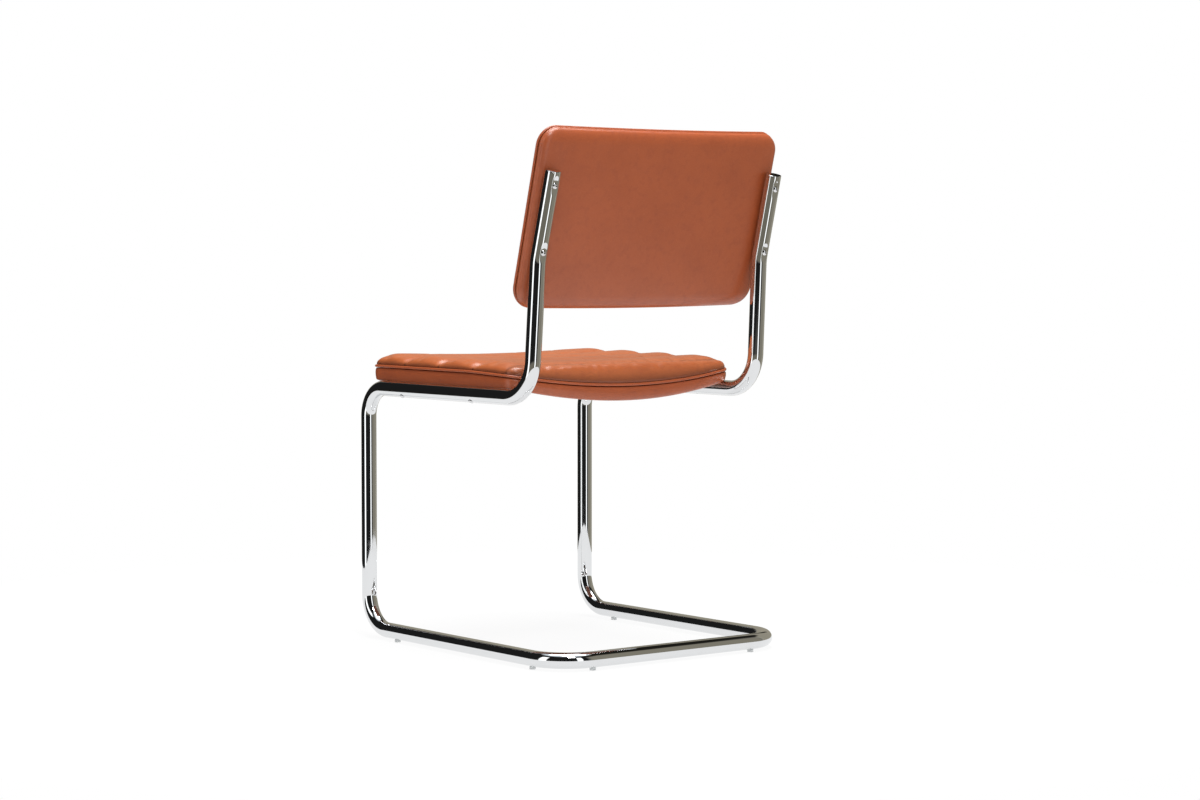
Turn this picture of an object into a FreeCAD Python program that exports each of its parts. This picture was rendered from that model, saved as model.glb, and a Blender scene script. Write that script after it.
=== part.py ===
import FreeCAD, Part
import math
import os

from FreeCAD import Vector

os.makedirs("parts", exist_ok=True)

# A cantilever dining chair: one bent steel tube carries an upholstered seat and backrest.
# Millimetres. The origin is on the floor under the middle of the frame.
# The chair faces -Y, the sitter's left is +X and +Z is up.

# Steel tube
tube_diameter = 25.0
tube_wall = 2.0
frame_width = 447.0
frame_depth = 518.4
rail_height = 412.5
upright_setback = 67.8
lean_bend_behind_foot = 13.6
lean_bend_above_rail = 210.3
upright_above_bend = 133.2
lean_angle = 15.3
upright_draw_in = 4.5
front_top_bend = 48.0
front_bottom_bend = 55.0
seat_bend = 63.0
lean_bend = 75.0
floor_corner_bend = 65.0

# Caps in the ends of the uprights
cap_flange = 1.5
cap_plug_length = 12.0
cap_rim_chamfer = 0.4
plug_clearance = 0.1

# Floor glides
glide_diameter = 9.5
glide_height = 4.0
glide_stem_diameter = 5.0
glide_stem_length = 6.0
glide_clearance = 0.1
front_glide_from_front = 83.2
side_glide_from_rear = 65.2
rear_glide_from_side = 65.5

# Screws that hold the backrest, with domed heads and a hexagon socket
back_screw_diameter = 5.0
back_screw_length = 35.0
back_screw_head = 9.5
back_screw_head_height = 2.75
back_screw_socket = 3.0
back_screw_socket_depth = 1.6
upper_screw_below_end = 19.9
lower_screw_above_bend = 14.1
screw_clearance = 0.3
head_edge = 0.5
dimple_depth = 1.3
dimple_lip = 3.0
insert_diameter = 8.0
insert_clearance = 0.05
insert_setback = 0.5

# Screws that hold the seat, through the rails and inwards into the board
seat_screw_diameter = 4.5
seat_screw_length = 37.0
seat_screw_head = 8.5
seat_screw_head_height = 2.4
seat_screw_tilt = 34.0
front_seat_screw_from_front = 109.2
rear_seat_screw_before_foot = 149.4

# Upholstery
leather = 2.0
piping_diameter = 4.4
seat_to_tube_gap = 0.3
layer_gap = 0.1
foam_gap = 0.4
seam_gap = 0.5

# Seat, measured at the leather's outer face
seat_inside_frame = 3.5
seat_before_frame = 2.3
seat_front_bulge = 4.5
seat_before_uprights = 40.4
seat_rear_bulge = 16.0
seat_front_corner = 30.0
seat_rear_corner = 24.0
seam_above_rail = 23.0
seam_drop_length = 110.0
seam_side_bend = 1260.0
seam_rear_corner_dip = 3.8
seam_front_dip = 5.5
seam_rear_dip = 22.0
seat_underside_drop = 25.5
seat_board_thickness = 10.0
underside_turn = 14.0
underside_cloth = 0.8
crest_above_rail = 36.5
crest_rise_front = 7.7
crest_rise_rear = 1.6
seat_valley_shares = [0.24848, 0.47879, 0.70909, 0.92242]
seat_channel_depth = 6.0
seat_rim = 16.0

# Backrest, measured along and across its own lean
back_beyond_uprights = 13.0
back_below_bend = 82.0
back_above_bend = 199.7
back_corner = 29.0
back_bow = 9.0
back_seam_depth = 18.5
back_edge_round = 10.0
back_wadding_thickness = 3.0
back_board_thickness = 9.0
back_total_depth = 32.0
back_front_inset = 1.5
back_channels = 3
back_channel_depth = 5.0
back_rim = 10.0

# Sizes worked out from those above
tube_radius = tube_diameter / 2
bore_radius = tube_radius - tube_wall
half_width = frame_width / 2
half_depth = frame_depth / 2
floor_tube_z = glide_height + tube_radius
lean = math.radians(lean_angle)
upright_foot_y = half_depth - upright_setback
lean_bend_y = upright_foot_y + lean_bend_behind_foot
lean_bend_z = rail_height + lean_bend_above_rail
upright_end_z = lean_bend_z + upright_above_bend
upright_end_half_width = half_width - upright_draw_in
piping_radius = piping_diameter / 2
seam_edge = piping_radius + seam_gap
seat_half_width = half_width - seat_inside_frame
seat_front_y = -half_depth - seat_before_frame
seat_rear_y = upright_foot_y - seat_before_uprights
seat_valleys_y = [seat_front_y + share * (seat_rear_y - seat_front_y) for share in seat_valley_shares]
rail_top = rail_height + tube_radius
seam_side_z = rail_top + seam_above_rail
seam_rear_corner_z = seam_side_z - seam_rear_corner_dip
seam_drop_start_y = seat_rear_y - seat_rear_bulge - seam_drop_length
crest_z = rail_top + crest_above_rail
back_half_width = upright_end_half_width + back_beyond_uprights

# Reach of the cutting bodies past the pieces, and sections across each dished one
far_outside = 30.0
cutter_floor_z = rail_height - 50.0
cutter_height = 200.0
clear_of_crests = 0.4
seat_sections = 9
channel_sections = 5

UP = Vector(0, 0, 1)
ACROSS = Vector(1, 0, 0)
BACK_UP = Vector(0, math.sin(lean), math.cos(lean))
BACK_OUT = Vector(0, math.cos(lean), -math.sin(lean))


def export(name, shape):
    """Write one piece, checked as closed and valid, to its own file."""
    if not shape.isValid() or shape.Volume <= 0:
        raise RuntimeError("bad solid: " + name)
    shape.exportStep("parts/" + name + ".step")
    print(name, "solids", len(shape.Solids), "volume", round(shape.Volume, 1))


def single(shape):
    """The one solid of a boolean result."""
    solids = sorted(shape.Solids, key=lambda solid: solid.Volume)
    return solids[-1]


def cylinder(radius, start, end):
    """A round bar from one point to another."""
    axis = end - start
    return Part.makeCylinder(radius, axis.Length, start, axis)


def mirrored(point):
    return Vector(-point.x, point.y, point.z)


def unit(vector):
    return Vector(vector).normalize()


# Paths of straight runs and tangent arcs

def corner_arc(before, corner, after, radius):
    """The arc of the given radius that rounds a corner, with its two ends."""
    back = unit(before - corner)
    ahead = unit(after - corner)
    half_angle = back.getAngle(ahead) / 2
    reach = radius / math.tan(half_angle)
    inwards = unit(back + ahead)
    start = corner + back * reach
    end = corner + ahead * reach
    middle = corner + inwards * (radius / math.sin(half_angle) - radius)
    return start, end, Part.Arc(start, middle, end).toShape()


def open_path(points, radii):
    """A wire through the points, with each inner point rounded by its radius."""
    edges = []
    last = points[0]
    for index, radius in enumerate(radii, start=1):
        start, end, arc = corner_arc(points[index - 1], points[index], points[index + 1], radius)
        edges.append(Part.LineSegment(last, start).toShape())
        edges.append(arc)
        last = end
    edges.append(Part.LineSegment(last, points[-1]).toShape())
    return Part.Wire(edges)


def closed_path(points, radii):
    """A closed wire through the points, with every point rounded by its radius."""
    count = len(points)
    rounds = []
    for index, radius in enumerate(radii):
        rounds.append(corner_arc(points[index - 1], points[index], points[(index + 1) % count], radius))
    edges = []
    for index, (start, end, arc) in enumerate(rounds):
        edges.append(arc)
        following = rounds[(index + 1) % count][0]
        edges.append(Part.LineSegment(end, following).toShape())
    return Part.Wire(edges)


def sweep_circle(path, radius):
    """A round bar along a path."""
    first = path.OrderedEdges[0]
    start = first.valueAt(first.FirstParameter)
    direction = first.tangentAt(first.FirstParameter)
    profile = Part.Wire(Part.Circle(start, direction, radius).toShape())
    return path.makePipeShell([profile], True, False)


# A bowed edge is two runs that meet at a vertex, with a rounding that takes up most of both
bow_share = 0.85


def bow_vertex(sagitta):
    """How far the vertex of a bowed edge stands off its ends."""
    return sagitta / (1 - bow_share / 2)


def bow_radius(half_length, vertex_offset):
    return bow_share * half_length * half_length / vertex_offset


# Frame tube

def frame_points():
    """Corners of the centre-line from the left upright's end down to the left rear floor corner."""
    rise = upright_end_z - rail_height
    end_y = lean_bend_y + upright_above_bend * math.tan(lean)
    bend_x = half_width - upright_draw_in * lean_bend_above_rail / rise
    return [
        Vector(upright_end_half_width, end_y, upright_end_z),
        Vector(bend_x, lean_bend_y, lean_bend_z),
        Vector(half_width, upright_foot_y, rail_height),
        Vector(half_width, -half_depth, rail_height),
        Vector(half_width, -half_depth, floor_tube_z),
        Vector(half_width, half_depth, floor_tube_z),
    ]


left_points = frame_points()
upright_end = left_points[0]
lean_corner = left_points[1]
upright_axis = unit(upright_end - lean_corner)


def frame_path():
    right_points = [mirrored(point) for point in reversed(left_points)]
    left_radii = [lean_bend, seat_bend, front_top_bend, front_bottom_bend, floor_corner_bend]
    return open_path(left_points + right_points, left_radii + left_radii[::-1])


def upright_point(along):
    """A point on the left upright's centre-line, so far above the lean bend."""
    return lean_corner + upright_axis * (along / upright_axis.dot(BACK_UP))


# The screws' places: name, side and height along the lean
back_screws = []
upper_screw_along = upright_above_bend / math.cos(lean) - upper_screw_below_end
for level, along in [("upper", upper_screw_along), ("lower", lower_screw_above_bend)]:
    back_screws.append((level + "_left", upright_point(along)))
    back_screws.append((level + "_right", mirrored(upright_point(along))))

head_seat = tube_radius - dimple_depth
dimple_radius = back_screw_head / 2 + screw_clearance


def revolved(points_and_arcs, base, axis):
    """A body of revolution about the axis from (distance, height) profile edges."""
    side = unit(ACROSS - axis * ACROSS.dot(axis))

    def place(pair):
        return base + side * pair[0] + axis * pair[1]

    edges = []
    for item in points_and_arcs:
        places = [place(pair) for pair in item]
        if len(places) == 2:
            edges.append(Part.LineSegment(places[0], places[1]).toShape())
        else:
            edges.append(Part.Arc(places[0], places[1], places[2]).toShape())
    face = Part.Face(Part.Wire(edges))
    return face.revolve(base, axis, 360)


def dimple(centre):
    """The cutter for the seat of a domed head, with a rounded lip along the tube."""
    outer = dimple_radius + dimple_lip
    lip_radius = (dimple_lip * dimple_lip + dimple_depth * dimple_depth) / (2 * dimple_depth)
    half_turn = math.asin(dimple_lip / lip_radius) / 2
    top = tube_radius + dimple_depth
    lip = [
        (dimple_radius, head_seat),
        (outer - lip_radius * math.sin(half_turn), tube_radius - lip_radius * (1 - math.cos(half_turn))),
        (outer, tube_radius),
    ]
    profile = [
        [(0, head_seat), lip[0]],
        lip,
        [lip[2], (outer, top)],
        [(outer, top), (0, top)],
        [(0, top), (0, head_seat)],
    ]
    return revolved(profile, centre, BACK_OUT)


def seat_screw_axis(side):
    """The way a seat screw points, upwards and inwards from the rail."""
    tilt = math.radians(seat_screw_tilt)
    return Vector(-side * math.sin(tilt), 0, math.cos(tilt))


seat_screws = []
for row, screw_y in [
    ("front", front_seat_screw_from_front - half_depth),
    ("rear", upright_foot_y - rear_seat_screw_before_foot),
]:
    seat_screws.append((row + "_left", Vector(half_width, screw_y, rail_height), seat_screw_axis(1)))
    seat_screws.append((row + "_right", Vector(-half_width, screw_y, rail_height), seat_screw_axis(-1)))

glides = []
for place, glide_x, glide_y, along in [
    ("front", half_width, front_glide_from_front - half_depth, Vector(0, 1, 0)),
    ("side", half_width, half_depth - side_glide_from_rear, Vector(0, 1, 0)),
    ("rear", half_width - rear_glide_from_side, half_depth, Vector(1, 0, 0)),
]:
    glides.append((place + "_left", Vector(glide_x, glide_y, floor_tube_z), along))
    glides.append((place + "_right", Vector(-glide_x, glide_y, floor_tube_z), along))


def make_frame():
    path = frame_path()
    tube = sweep_circle(path, tube_radius).cut(sweep_circle(path, bore_radius))
    cutters = []
    hole = back_screw_diameter / 2 + screw_clearance
    for name, centre in back_screws:
        cutters.append(dimple(centre))
        cutters.append(cylinder(hole, centre - BACK_OUT * tube_diameter, centre + BACK_OUT * tube_radius))
    hole = seat_screw_diameter / 2 + screw_clearance
    for name, centre, axis in seat_screws:
        cutters.append(cylinder(hole, centre - axis * tube_diameter, centre + axis * tube_diameter))
    hole = glide_stem_diameter / 2 + glide_clearance
    for name, centre, along in glides:
        cutters.append(cylinder(hole, centre - UP * tube_diameter, centre))
    return single(tube.cut(cutters))


def make_cap(end, axis):
    """A round cap: a flange on the tube's end and a plug inside the bore."""
    plug_radius = bore_radius - plug_clearance
    half = [
        (0, -cap_plug_length),
        (plug_radius, -cap_plug_length),
        (plug_radius, 0),
        (tube_radius, 0),
        (tube_radius, cap_flange - cap_rim_chamfer),
        (tube_radius - cap_rim_chamfer, cap_flange),
        (0, cap_flange),
        (0, -cap_plug_length),
    ]
    return revolved(list(zip(half, half[1:])), end, axis)


def make_glide(centre, along):
    """A round pad shaped to the tube above it, with a stem in the tube's wall."""
    foot = Vector(centre.x, centre.y, 0)
    pad = cylinder(glide_diameter / 2, foot, centre)
    reach = along * glide_diameter
    pad = pad.cut(cylinder(tube_radius + glide_clearance, centre - reach, centre + reach))
    stem_top = Vector(centre.x, centre.y, glide_height + glide_stem_length)
    stem = cylinder(glide_stem_diameter / 2, foot + UP * (glide_height / 2), stem_top)
    return single(pad.fuse(stem))


def domed_head(base, axis, diameter, height):
    """A low dome on a flat underside at the base."""
    radius = diameter / 2
    dome = height - head_edge
    sphere = (radius * radius + dome * dome) / (2 * dome)
    half_turn = math.asin(radius / sphere) / 2
    middle = (sphere * math.sin(half_turn), height - sphere * (1 - math.cos(half_turn)))
    profile = [
        [(0, 0), (radius, 0)],
        [(radius, 0), (radius, head_edge)],
        [(radius, head_edge), middle, (0, height)],
        [(0, height), (0, 0)],
    ]
    return revolved(profile, base, axis)


def hexagon_socket(base, axis, across_flats, depth):
    """A hexagonal hole that runs down the axis from the base."""
    corner = across_flats / math.sqrt(3)
    side = unit(ACROSS - axis * ACROSS.dot(axis))
    other = axis.cross(side)
    points = []
    for turn in range(6):
        angle = math.radians(60 * turn)
        points.append(base + side * (corner * math.cos(angle)) + other * (corner * math.sin(angle)))
    face = Part.Face(Part.makePolygon(points + points[:1]))
    return face.extrude(axis * -depth)


def make_back_screw(centre):
    seat = centre + BACK_OUT * head_seat
    top = seat + BACK_OUT * back_screw_head_height
    head = domed_head(seat, BACK_OUT, back_screw_head, back_screw_head_height)
    shank = cylinder(back_screw_diameter / 2, seat - BACK_OUT * back_screw_length, seat)
    socket = hexagon_socket(top, BACK_OUT, back_screw_socket, back_screw_socket_depth)
    return single(head.fuse(shank).cut(socket))


def make_seat_screw(centre, axis):
    seat = centre - axis * tube_radius
    head = domed_head(seat, axis * -1, seat_screw_head, seat_screw_head_height)
    shank = cylinder(seat_screw_diameter / 2, seat, seat + axis * seat_screw_length)
    return single(head.fuse(shank))


# Backrest, built upright at the origin and then leant back on the tubes.
# There X runs across, Y points to the rear from the face on the tubes, and Z runs up the lean.

back_origin = lean_corner - BACK_OUT * tube_radius
back_origin.x = 0
bow_span = upright_end_half_width
back_bow_radius = (bow_span * bow_span + back_bow * back_bow) / (2 * back_bow)
back_rear_face = back_bow - seat_to_tube_gap
back_bow_centre = Vector(0, back_rear_face - back_bow_radius, 0)


def back_place(shape):
    """Lean a backrest piece onto the uprights."""
    shape.rotate(Vector(0, 0, 0), ACROSS, -lean_angle)
    shape.translate(back_origin)
    return shape


def back_outline(inset):
    """The backrest's rounded outline as a wire in the XZ plane, drawn in by the inset."""
    side = back_half_width - inset
    low = -back_below_bend + inset
    high = back_above_bend - inset
    corners = [Vector(side, 0, low), Vector(side, 0, high), Vector(-side, 0, high), Vector(-side, 0, low)]
    return closed_path(corners, [back_corner - inset] * 4)


def back_prism(inset):
    outline = back_outline(inset)
    outline.translate(Vector(0, -back_total_depth - far_outside, 0))
    return Part.Face(outline).extrude(Vector(0, back_total_depth + 2 * far_outside, 0))


def back_turned(edges):
    """Turn a profile in the YZ plane about the bow's axis, past both sides of the backrest."""
    angle = math.degrees(math.asin((back_half_width + far_outside) / back_bow_radius))
    face = Part.Face(Part.Wire(edges))
    face.rotate(back_bow_centre, UP, -angle)
    return face.revolve(back_bow_centre, UP, 2 * angle)


def back_layer(front, rear):
    """A bowed slab between two depths in front of the rear face, at any height."""
    low = -back_below_bend - far_outside
    high = back_above_bend + far_outside
    near = back_rear_face - rear
    far = back_rear_face - front
    corners = [Vector(0, near, low), Vector(0, near, high), Vector(0, far, high), Vector(0, far, low)]
    edges = []
    for index, corner in enumerate(corners):
        edges.append(Part.LineSegment(corner, corners[(index + 1) % 4]).toShape())
    return back_turned(edges)


def back_channel_body(depth):
    """Everything behind the channelled front surface, whose crests lie at the given depth."""
    low = -back_below_bend
    high = back_above_bend
    pitch = (high - low) / back_channels
    crest = back_rear_face - depth
    valley = crest + back_channel_depth
    rear = back_rear_face + far_outside
    edges = []
    start = Vector(0, valley, low)
    edges.append(Part.LineSegment(Vector(0, rear, low), start).toShape())
    for index in range(back_channels):
        middle = Vector(0, crest, low + pitch * (index + 0.5))
        end = Vector(0, valley, low + pitch * (index + 1))
        edges.append(Part.Arc(start, middle, end).toShape())
        start = end
    edges.append(Part.LineSegment(start, Vector(0, rear, high)).toShape())
    edges.append(Part.LineSegment(Vector(0, rear, high), Vector(0, rear, low)).toShape())
    return back_turned(edges)


def back_tray(inset, front, rear, radius):
    """A bowed panel between two depths with its rear edges rounded."""
    body = single(back_prism(inset).common(back_layer(front, rear)))
    rear_faces = [face for face in body.Faces if abs(face.CenterOfMass.x) < 1]
    rear_face = max(rear_faces, key=lambda face: face.Area * (face.CenterOfMass.y > body.CenterOfMass.y))
    return single(body.makeFillet(radius, rear_face.Edges))


def back_cushion(inset, rear, crest, radius):
    """A bowed panel with its front edges rounded and its front channelled."""
    body = single(back_prism(inset).common(back_layer(crest, rear)))
    faces = [face for face in body.Faces if abs(face.CenterOfMass.x) < 1]
    front_face = max(faces, key=lambda face: face.Area * (face.CenterOfMass.y < body.CenterOfMass.y))
    body = body.makeFillet(radius, front_face.Edges)
    return single(body.common(back_channel_body(crest)))


def back_bores(radius):
    """Cutters along the domed screws, in the backrest's own upright position."""
    bores = []
    for name, centre in back_screws:
        bore = cylinder(radius, centre - BACK_OUT * (back_total_depth + tube_radius), centre)
        bore.translate(back_origin * -1)
        bore.rotate(Vector(0, 0, 0), ACROSS, lean_angle)
        bores.append(bore)
    return bores


back_board_rear = leather + layer_gap + back_wadding_thickness + layer_gap
back_board_front = back_board_rear + back_board_thickness
back_foam_inset = back_front_inset + leather


def make_back():
    screw_hole = back_screw_diameter / 2 + screw_clearance
    pieces = {}

    outer = back_tray(0, back_seam_depth - seam_edge, 0, back_edge_round)
    hollow = back_tray(leather, back_total_depth, leather, back_edge_round - leather)
    pieces["back_rear_cover"] = single(outer.cut(hollow).cut(back_bores(screw_hole)))

    inset = leather + layer_gap
    lining = back_tray(inset, back_total_depth, inset, back_edge_round - inset)
    wadding = lining.common(back_layer(back_board_rear - layer_gap, 0))
    pieces["back_wadding"] = single(single(wadding).cut(back_bores(screw_hole)))

    board = back_tray(back_foam_inset, back_board_front, back_board_rear, back_edge_round - back_board_rear)
    pieces["back_board"] = single(board.cut(back_bores(insert_diameter / 2 + insert_clearance)))

    foam = back_cushion(
        back_foam_inset,
        back_board_front + layer_gap,
        back_total_depth - leather,
        back_rim - leather,
    )
    pieces["back_foam"] = foam

    cover = back_cushion(back_front_inset, back_seam_depth + seam_edge, back_total_depth, back_rim)
    pieces["back_front_cover"] = single(cover.cut(foam))

    seam_y = back_rear_face - back_seam_depth
    edge_bow = back_half_width * back_half_width / (2 * back_bow_radius)
    side_y = seam_y - edge_bow
    vertex = bow_vertex(edge_bow)
    low = -back_below_bend
    high = back_above_bend
    points = [
        Vector(back_half_width, side_y, low),
        Vector(back_half_width, side_y, high),
        Vector(0, side_y + vertex, high),
        Vector(-back_half_width, side_y, high),
        Vector(-back_half_width, side_y, low),
        Vector(0, side_y + vertex, low),
    ]
    bow = bow_radius(back_half_width, vertex)
    path = closed_path(points, [back_corner, back_corner, bow, back_corner, back_corner, bow])
    pieces["back_piping"] = sweep_circle(path, piping_radius)

    for name, piece in pieces.items():
        export(name, back_place(piece))


def make_insert(centre):
    """A threaded bush in the back board, around the end of a domed screw."""
    face = centre - BACK_OUT * (tube_radius + seat_to_tube_gap + back_board_rear + insert_setback)
    end = face - BACK_OUT * (back_board_thickness - 2 * insert_setback)
    bush = cylinder(insert_diameter / 2, face, end)
    bore = back_screw_diameter / 2 + insert_clearance
    return single(bush.cut(cylinder(bore, face + BACK_OUT, end - BACK_OUT)))


# Seat

def seat_share(y):
    """Where a place lies between the seat's front and rear, from 0 to 1."""
    return (y - seat_front_y) / (seat_rear_y - seat_front_y)


def seam_heights(y):
    """Height of the seam in the middle and at the side, at this distance from front to rear."""
    fall = (seam_side_z - seam_rear_corner_z) / (seat_rear_y - seat_rear_bulge - seam_drop_start_y)
    side = seam_side_z - fall * max(0, y - seam_drop_start_y)
    front_middle = seam_side_z - seam_front_dip
    rear_middle = seam_side_z - seam_rear_dip
    return front_middle + (rear_middle - front_middle) * seat_share(y) ** 2, side


def underside_heights(y):
    """Height of the underside in the middle, and at the side where it lies on the rail."""
    middle, side = seam_heights(y)
    return middle - seat_underside_drop, rail_top + seat_to_tube_gap


def crest_heights(y):
    """Height of the channels' crests in the middle and at the side."""
    return crest_z, crest_z + crest_rise_front + (crest_rise_rear - crest_rise_front) * seat_share(y)


def dished(heights, x):
    """Height at a distance from the middle, on the circle through the middle and both sides."""
    middle, side = heights
    rise = side - middle
    curvature = 2 * rise / (seat_half_width ** 2 + rise ** 2)
    return middle + curvature * x * x / (1 + math.sqrt(1 - (curvature * x) ** 2))


def seat_layer(lower, upper):
    """A dished slab between two surfaces, each a height function with a lift."""
    reach = seat_half_width + far_outside
    (low_surface, low_lift), (high_surface, high_lift) = lower, upper
    front = seat_front_y - far_outside
    step = (seat_rear_y + far_outside - front) / (seat_sections - 1)
    sections = []
    for index in range(seat_sections):
        y = front + step * index
        low_side = dished(low_surface(y), reach) + low_lift
        low_middle = dished(low_surface(y), 0) + low_lift
        high_side = dished(high_surface(y), reach) + high_lift
        high_middle = dished(high_surface(y), 0) + high_lift
        low_left = Vector(reach, y, low_side)
        low_right = Vector(-reach, y, low_side)
        high_left = Vector(reach, y, high_side)
        high_right = Vector(-reach, y, high_side)
        sections.append(Part.Wire([
            Part.Arc(low_right, Vector(0, y, low_middle), low_left).toShape(),
            Part.LineSegment(low_left, high_left).toShape(),
            Part.Arc(high_left, Vector(0, y, high_middle), high_right).toShape(),
            Part.LineSegment(high_right, low_right).toShape(),
        ]))
    return Part.makeLoft(sections, True, False)


def seat_seam_points():
    """Corners of the seam round the seat, from the left front, anticlockwise from above."""
    rear_corner_y = seat_rear_y - seat_rear_bulge
    front_vertex = bow_vertex(seat_front_bulge)
    front_drop = bow_vertex(seam_front_dip)
    rear_vertex = bow_vertex(seat_rear_bulge)
    rear_drop = bow_vertex(seam_rear_corner_z - seam_side_z + seam_rear_dip)
    left = [
        Vector(seat_half_width, seat_front_y, seam_side_z),
        Vector(seat_half_width, seam_drop_start_y, seam_side_z),
        Vector(seat_half_width, rear_corner_y, seam_rear_corner_z),
    ]
    right = [mirrored(point) for point in reversed(left)]
    rear = Vector(0, rear_corner_y + rear_vertex, seam_rear_corner_z - rear_drop)
    front = Vector(0, seat_front_y - front_vertex, seam_side_z - front_drop)
    return left + [rear] + right + [front]


def seat_radii():
    """A radius for each corner of the seam, in the same order."""
    corners = [seat_front_corner, seam_side_bend, seat_rear_corner]
    rear_dip = seam_rear_corner_z - seam_side_z + seam_rear_dip
    rear = bow_radius(seat_half_width, bow_vertex(math.hypot(seat_rear_bulge, rear_dip)))
    front = bow_radius(seat_half_width, bow_vertex(math.hypot(seat_front_bulge, seam_front_dip)))
    return corners + [rear] + corners[::-1] + [front]


def seat_prism(inset):
    """An upright prism over the seat's outline, drawn in by the inset."""
    points = []
    radii = []
    for point, radius in zip(seat_seam_points(), seat_radii()):
        if abs(point.y - seam_drop_start_y) < 1:
            continue
        points.append(Vector(point.x, point.y, cutter_floor_z))
        radii.append(radius)
    rear_vertex = bow_vertex(seat_rear_bulge)
    front_vertex = bow_vertex(seat_front_bulge)
    radii[2] = bow_radius(seat_half_width, rear_vertex)
    radii[5] = bow_radius(seat_half_width, front_vertex)
    outline = closed_path(points, radii)
    if inset:
        outline = outline.makeOffset2D(-inset)
    return Part.Face(outline).extrude(UP * cutter_height)


def seat_channel_body(lift):
    """Everything below the channelled top surface, lifted or lowered as a whole."""
    reach = seat_half_width + far_outside
    front = seat_front_y - far_outside
    rear = seat_rear_y + far_outside
    breaks = [seat_front_y - seat_front_bulge] + seat_valleys_y + [seat_rear_y + seat_front_bulge]
    sections = []
    for index in range(channel_sections):
        x = reach * (2 * index / (channel_sections - 1) - 1)
        tops = []
        for y in breaks:
            tops.append(Vector(x, y, dished(crest_heights(y), x) - seat_channel_depth + lift))
        low_front = Vector(x, front, cutter_floor_z)
        high_front = Vector(x, front, tops[0].z)
        high_rear = Vector(x, rear, tops[-1].z)
        low_rear = Vector(x, rear, cutter_floor_z)
        edges = [Part.LineSegment(low_front, high_front).toShape()]
        edges.append(Part.LineSegment(high_front, tops[0]).toShape())
        for start, end in zip(tops, tops[1:]):
            y = (start.y + end.y) / 2
            crest = Vector(x, y, dished(crest_heights(y), x) + lift)
            edges.append(Part.Arc(start, crest, end).toShape())
        edges.append(Part.LineSegment(tops[-1], high_rear).toShape())
        edges.append(Part.LineSegment(high_rear, low_rear).toShape())
        edges.append(Part.LineSegment(low_rear, low_front).toShape())
        sections.append(Part.Wire(edges))
    return Part.makeLoft(sections, True, False)


def seat_cushion(inset, lower, lift, radius):
    """A crowned body with a rounded top rim and sewn channels."""
    body = single(seat_prism(inset).common(seat_layer(lower, (crest_heights, lift + clear_of_crests))))
    top = max(body.Faces, key=lambda face: face.CenterOfMass.z)
    body = body.makeFillet(radius, top.Edges)
    return single(body.common(seat_channel_body(lift)))


def make_seat():
    pieces = {}
    screw_hole = seat_screw_diameter / 2 + insert_clearance
    screw_bores = []
    leather_bores = []
    for name, centre, axis in seat_screws:
        end = centre + axis * (seat_screw_length - tube_radius + layer_gap)
        screw_bores.append(cylinder(screw_hole, centre, end))
        leather_bores.append(cylinder(seat_screw_diameter / 2 + screw_clearance, centre, end))

    band = seat_prism(0).common(seat_layer((underside_heights, 0), (seam_heights, -seam_edge)))
    inside = seat_prism(leather).common(seat_layer((underside_heights, leather), (crest_heights, 0)))
    opening = seat_prism(underside_turn)
    pieces["seat_border"] = single(band.cut([inside, opening]).cut(leather_bores))

    cloth_low = leather - layer_gap - underside_cloth
    cloth = seat_prism(underside_turn + layer_gap).common(
        seat_layer((underside_heights, cloth_low), (underside_heights, leather - layer_gap)))
    pieces["seat_underside_cloth"] = single(cloth)

    board_low = leather + layer_gap
    board_high = board_low + seat_board_thickness
    board = seat_prism(leather + layer_gap).common(
        seat_layer((underside_heights, board_low), (underside_heights, board_high)))
    pieces["seat_board"] = single(single(board).cut(screw_bores))

    foam_inset = leather + foam_gap
    foam_low = board_high + layer_gap
    foam = seat_cushion(foam_inset, (underside_heights, foam_low), -leather, seat_rim - leather)
    pieces["seat_foam"] = foam

    cover = seat_cushion(0, (seam_heights, seam_edge), 0, seat_rim)
    pieces["seat_top_cover"] = single(cover.cut(foam))

    path = closed_path(seat_seam_points(), seat_radii())
    pieces["seat_piping"] = sweep_circle(path, piping_radius)

    for name, piece in pieces.items():
        export(name, piece)


export("frame_tube", make_frame())
for side, end, axis in [
    ("left", upright_end, upright_axis),
    ("right", mirrored(upright_end), mirrored(upright_axis)),
]:
    export("upright_cap_" + side, make_cap(end, axis))
for name, centre, along in glides:
    export("glide_" + name, make_glide(centre, along))
for name, centre in back_screws:
    export("back_screw_" + name, make_back_screw(centre))
    export("back_insert_" + name, make_insert(centre))
for name, centre, axis in seat_screws:
    export("seat_screw_" + name, make_seat_screw(centre, axis))
make_seat()
make_back()
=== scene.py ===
import math

import bmesh
import bpy
import numpy as np
from bpy.props import FloatProperty, FloatVectorProperty, PointerProperty
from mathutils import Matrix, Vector
from mathutils.kdtree import KDTree


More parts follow.
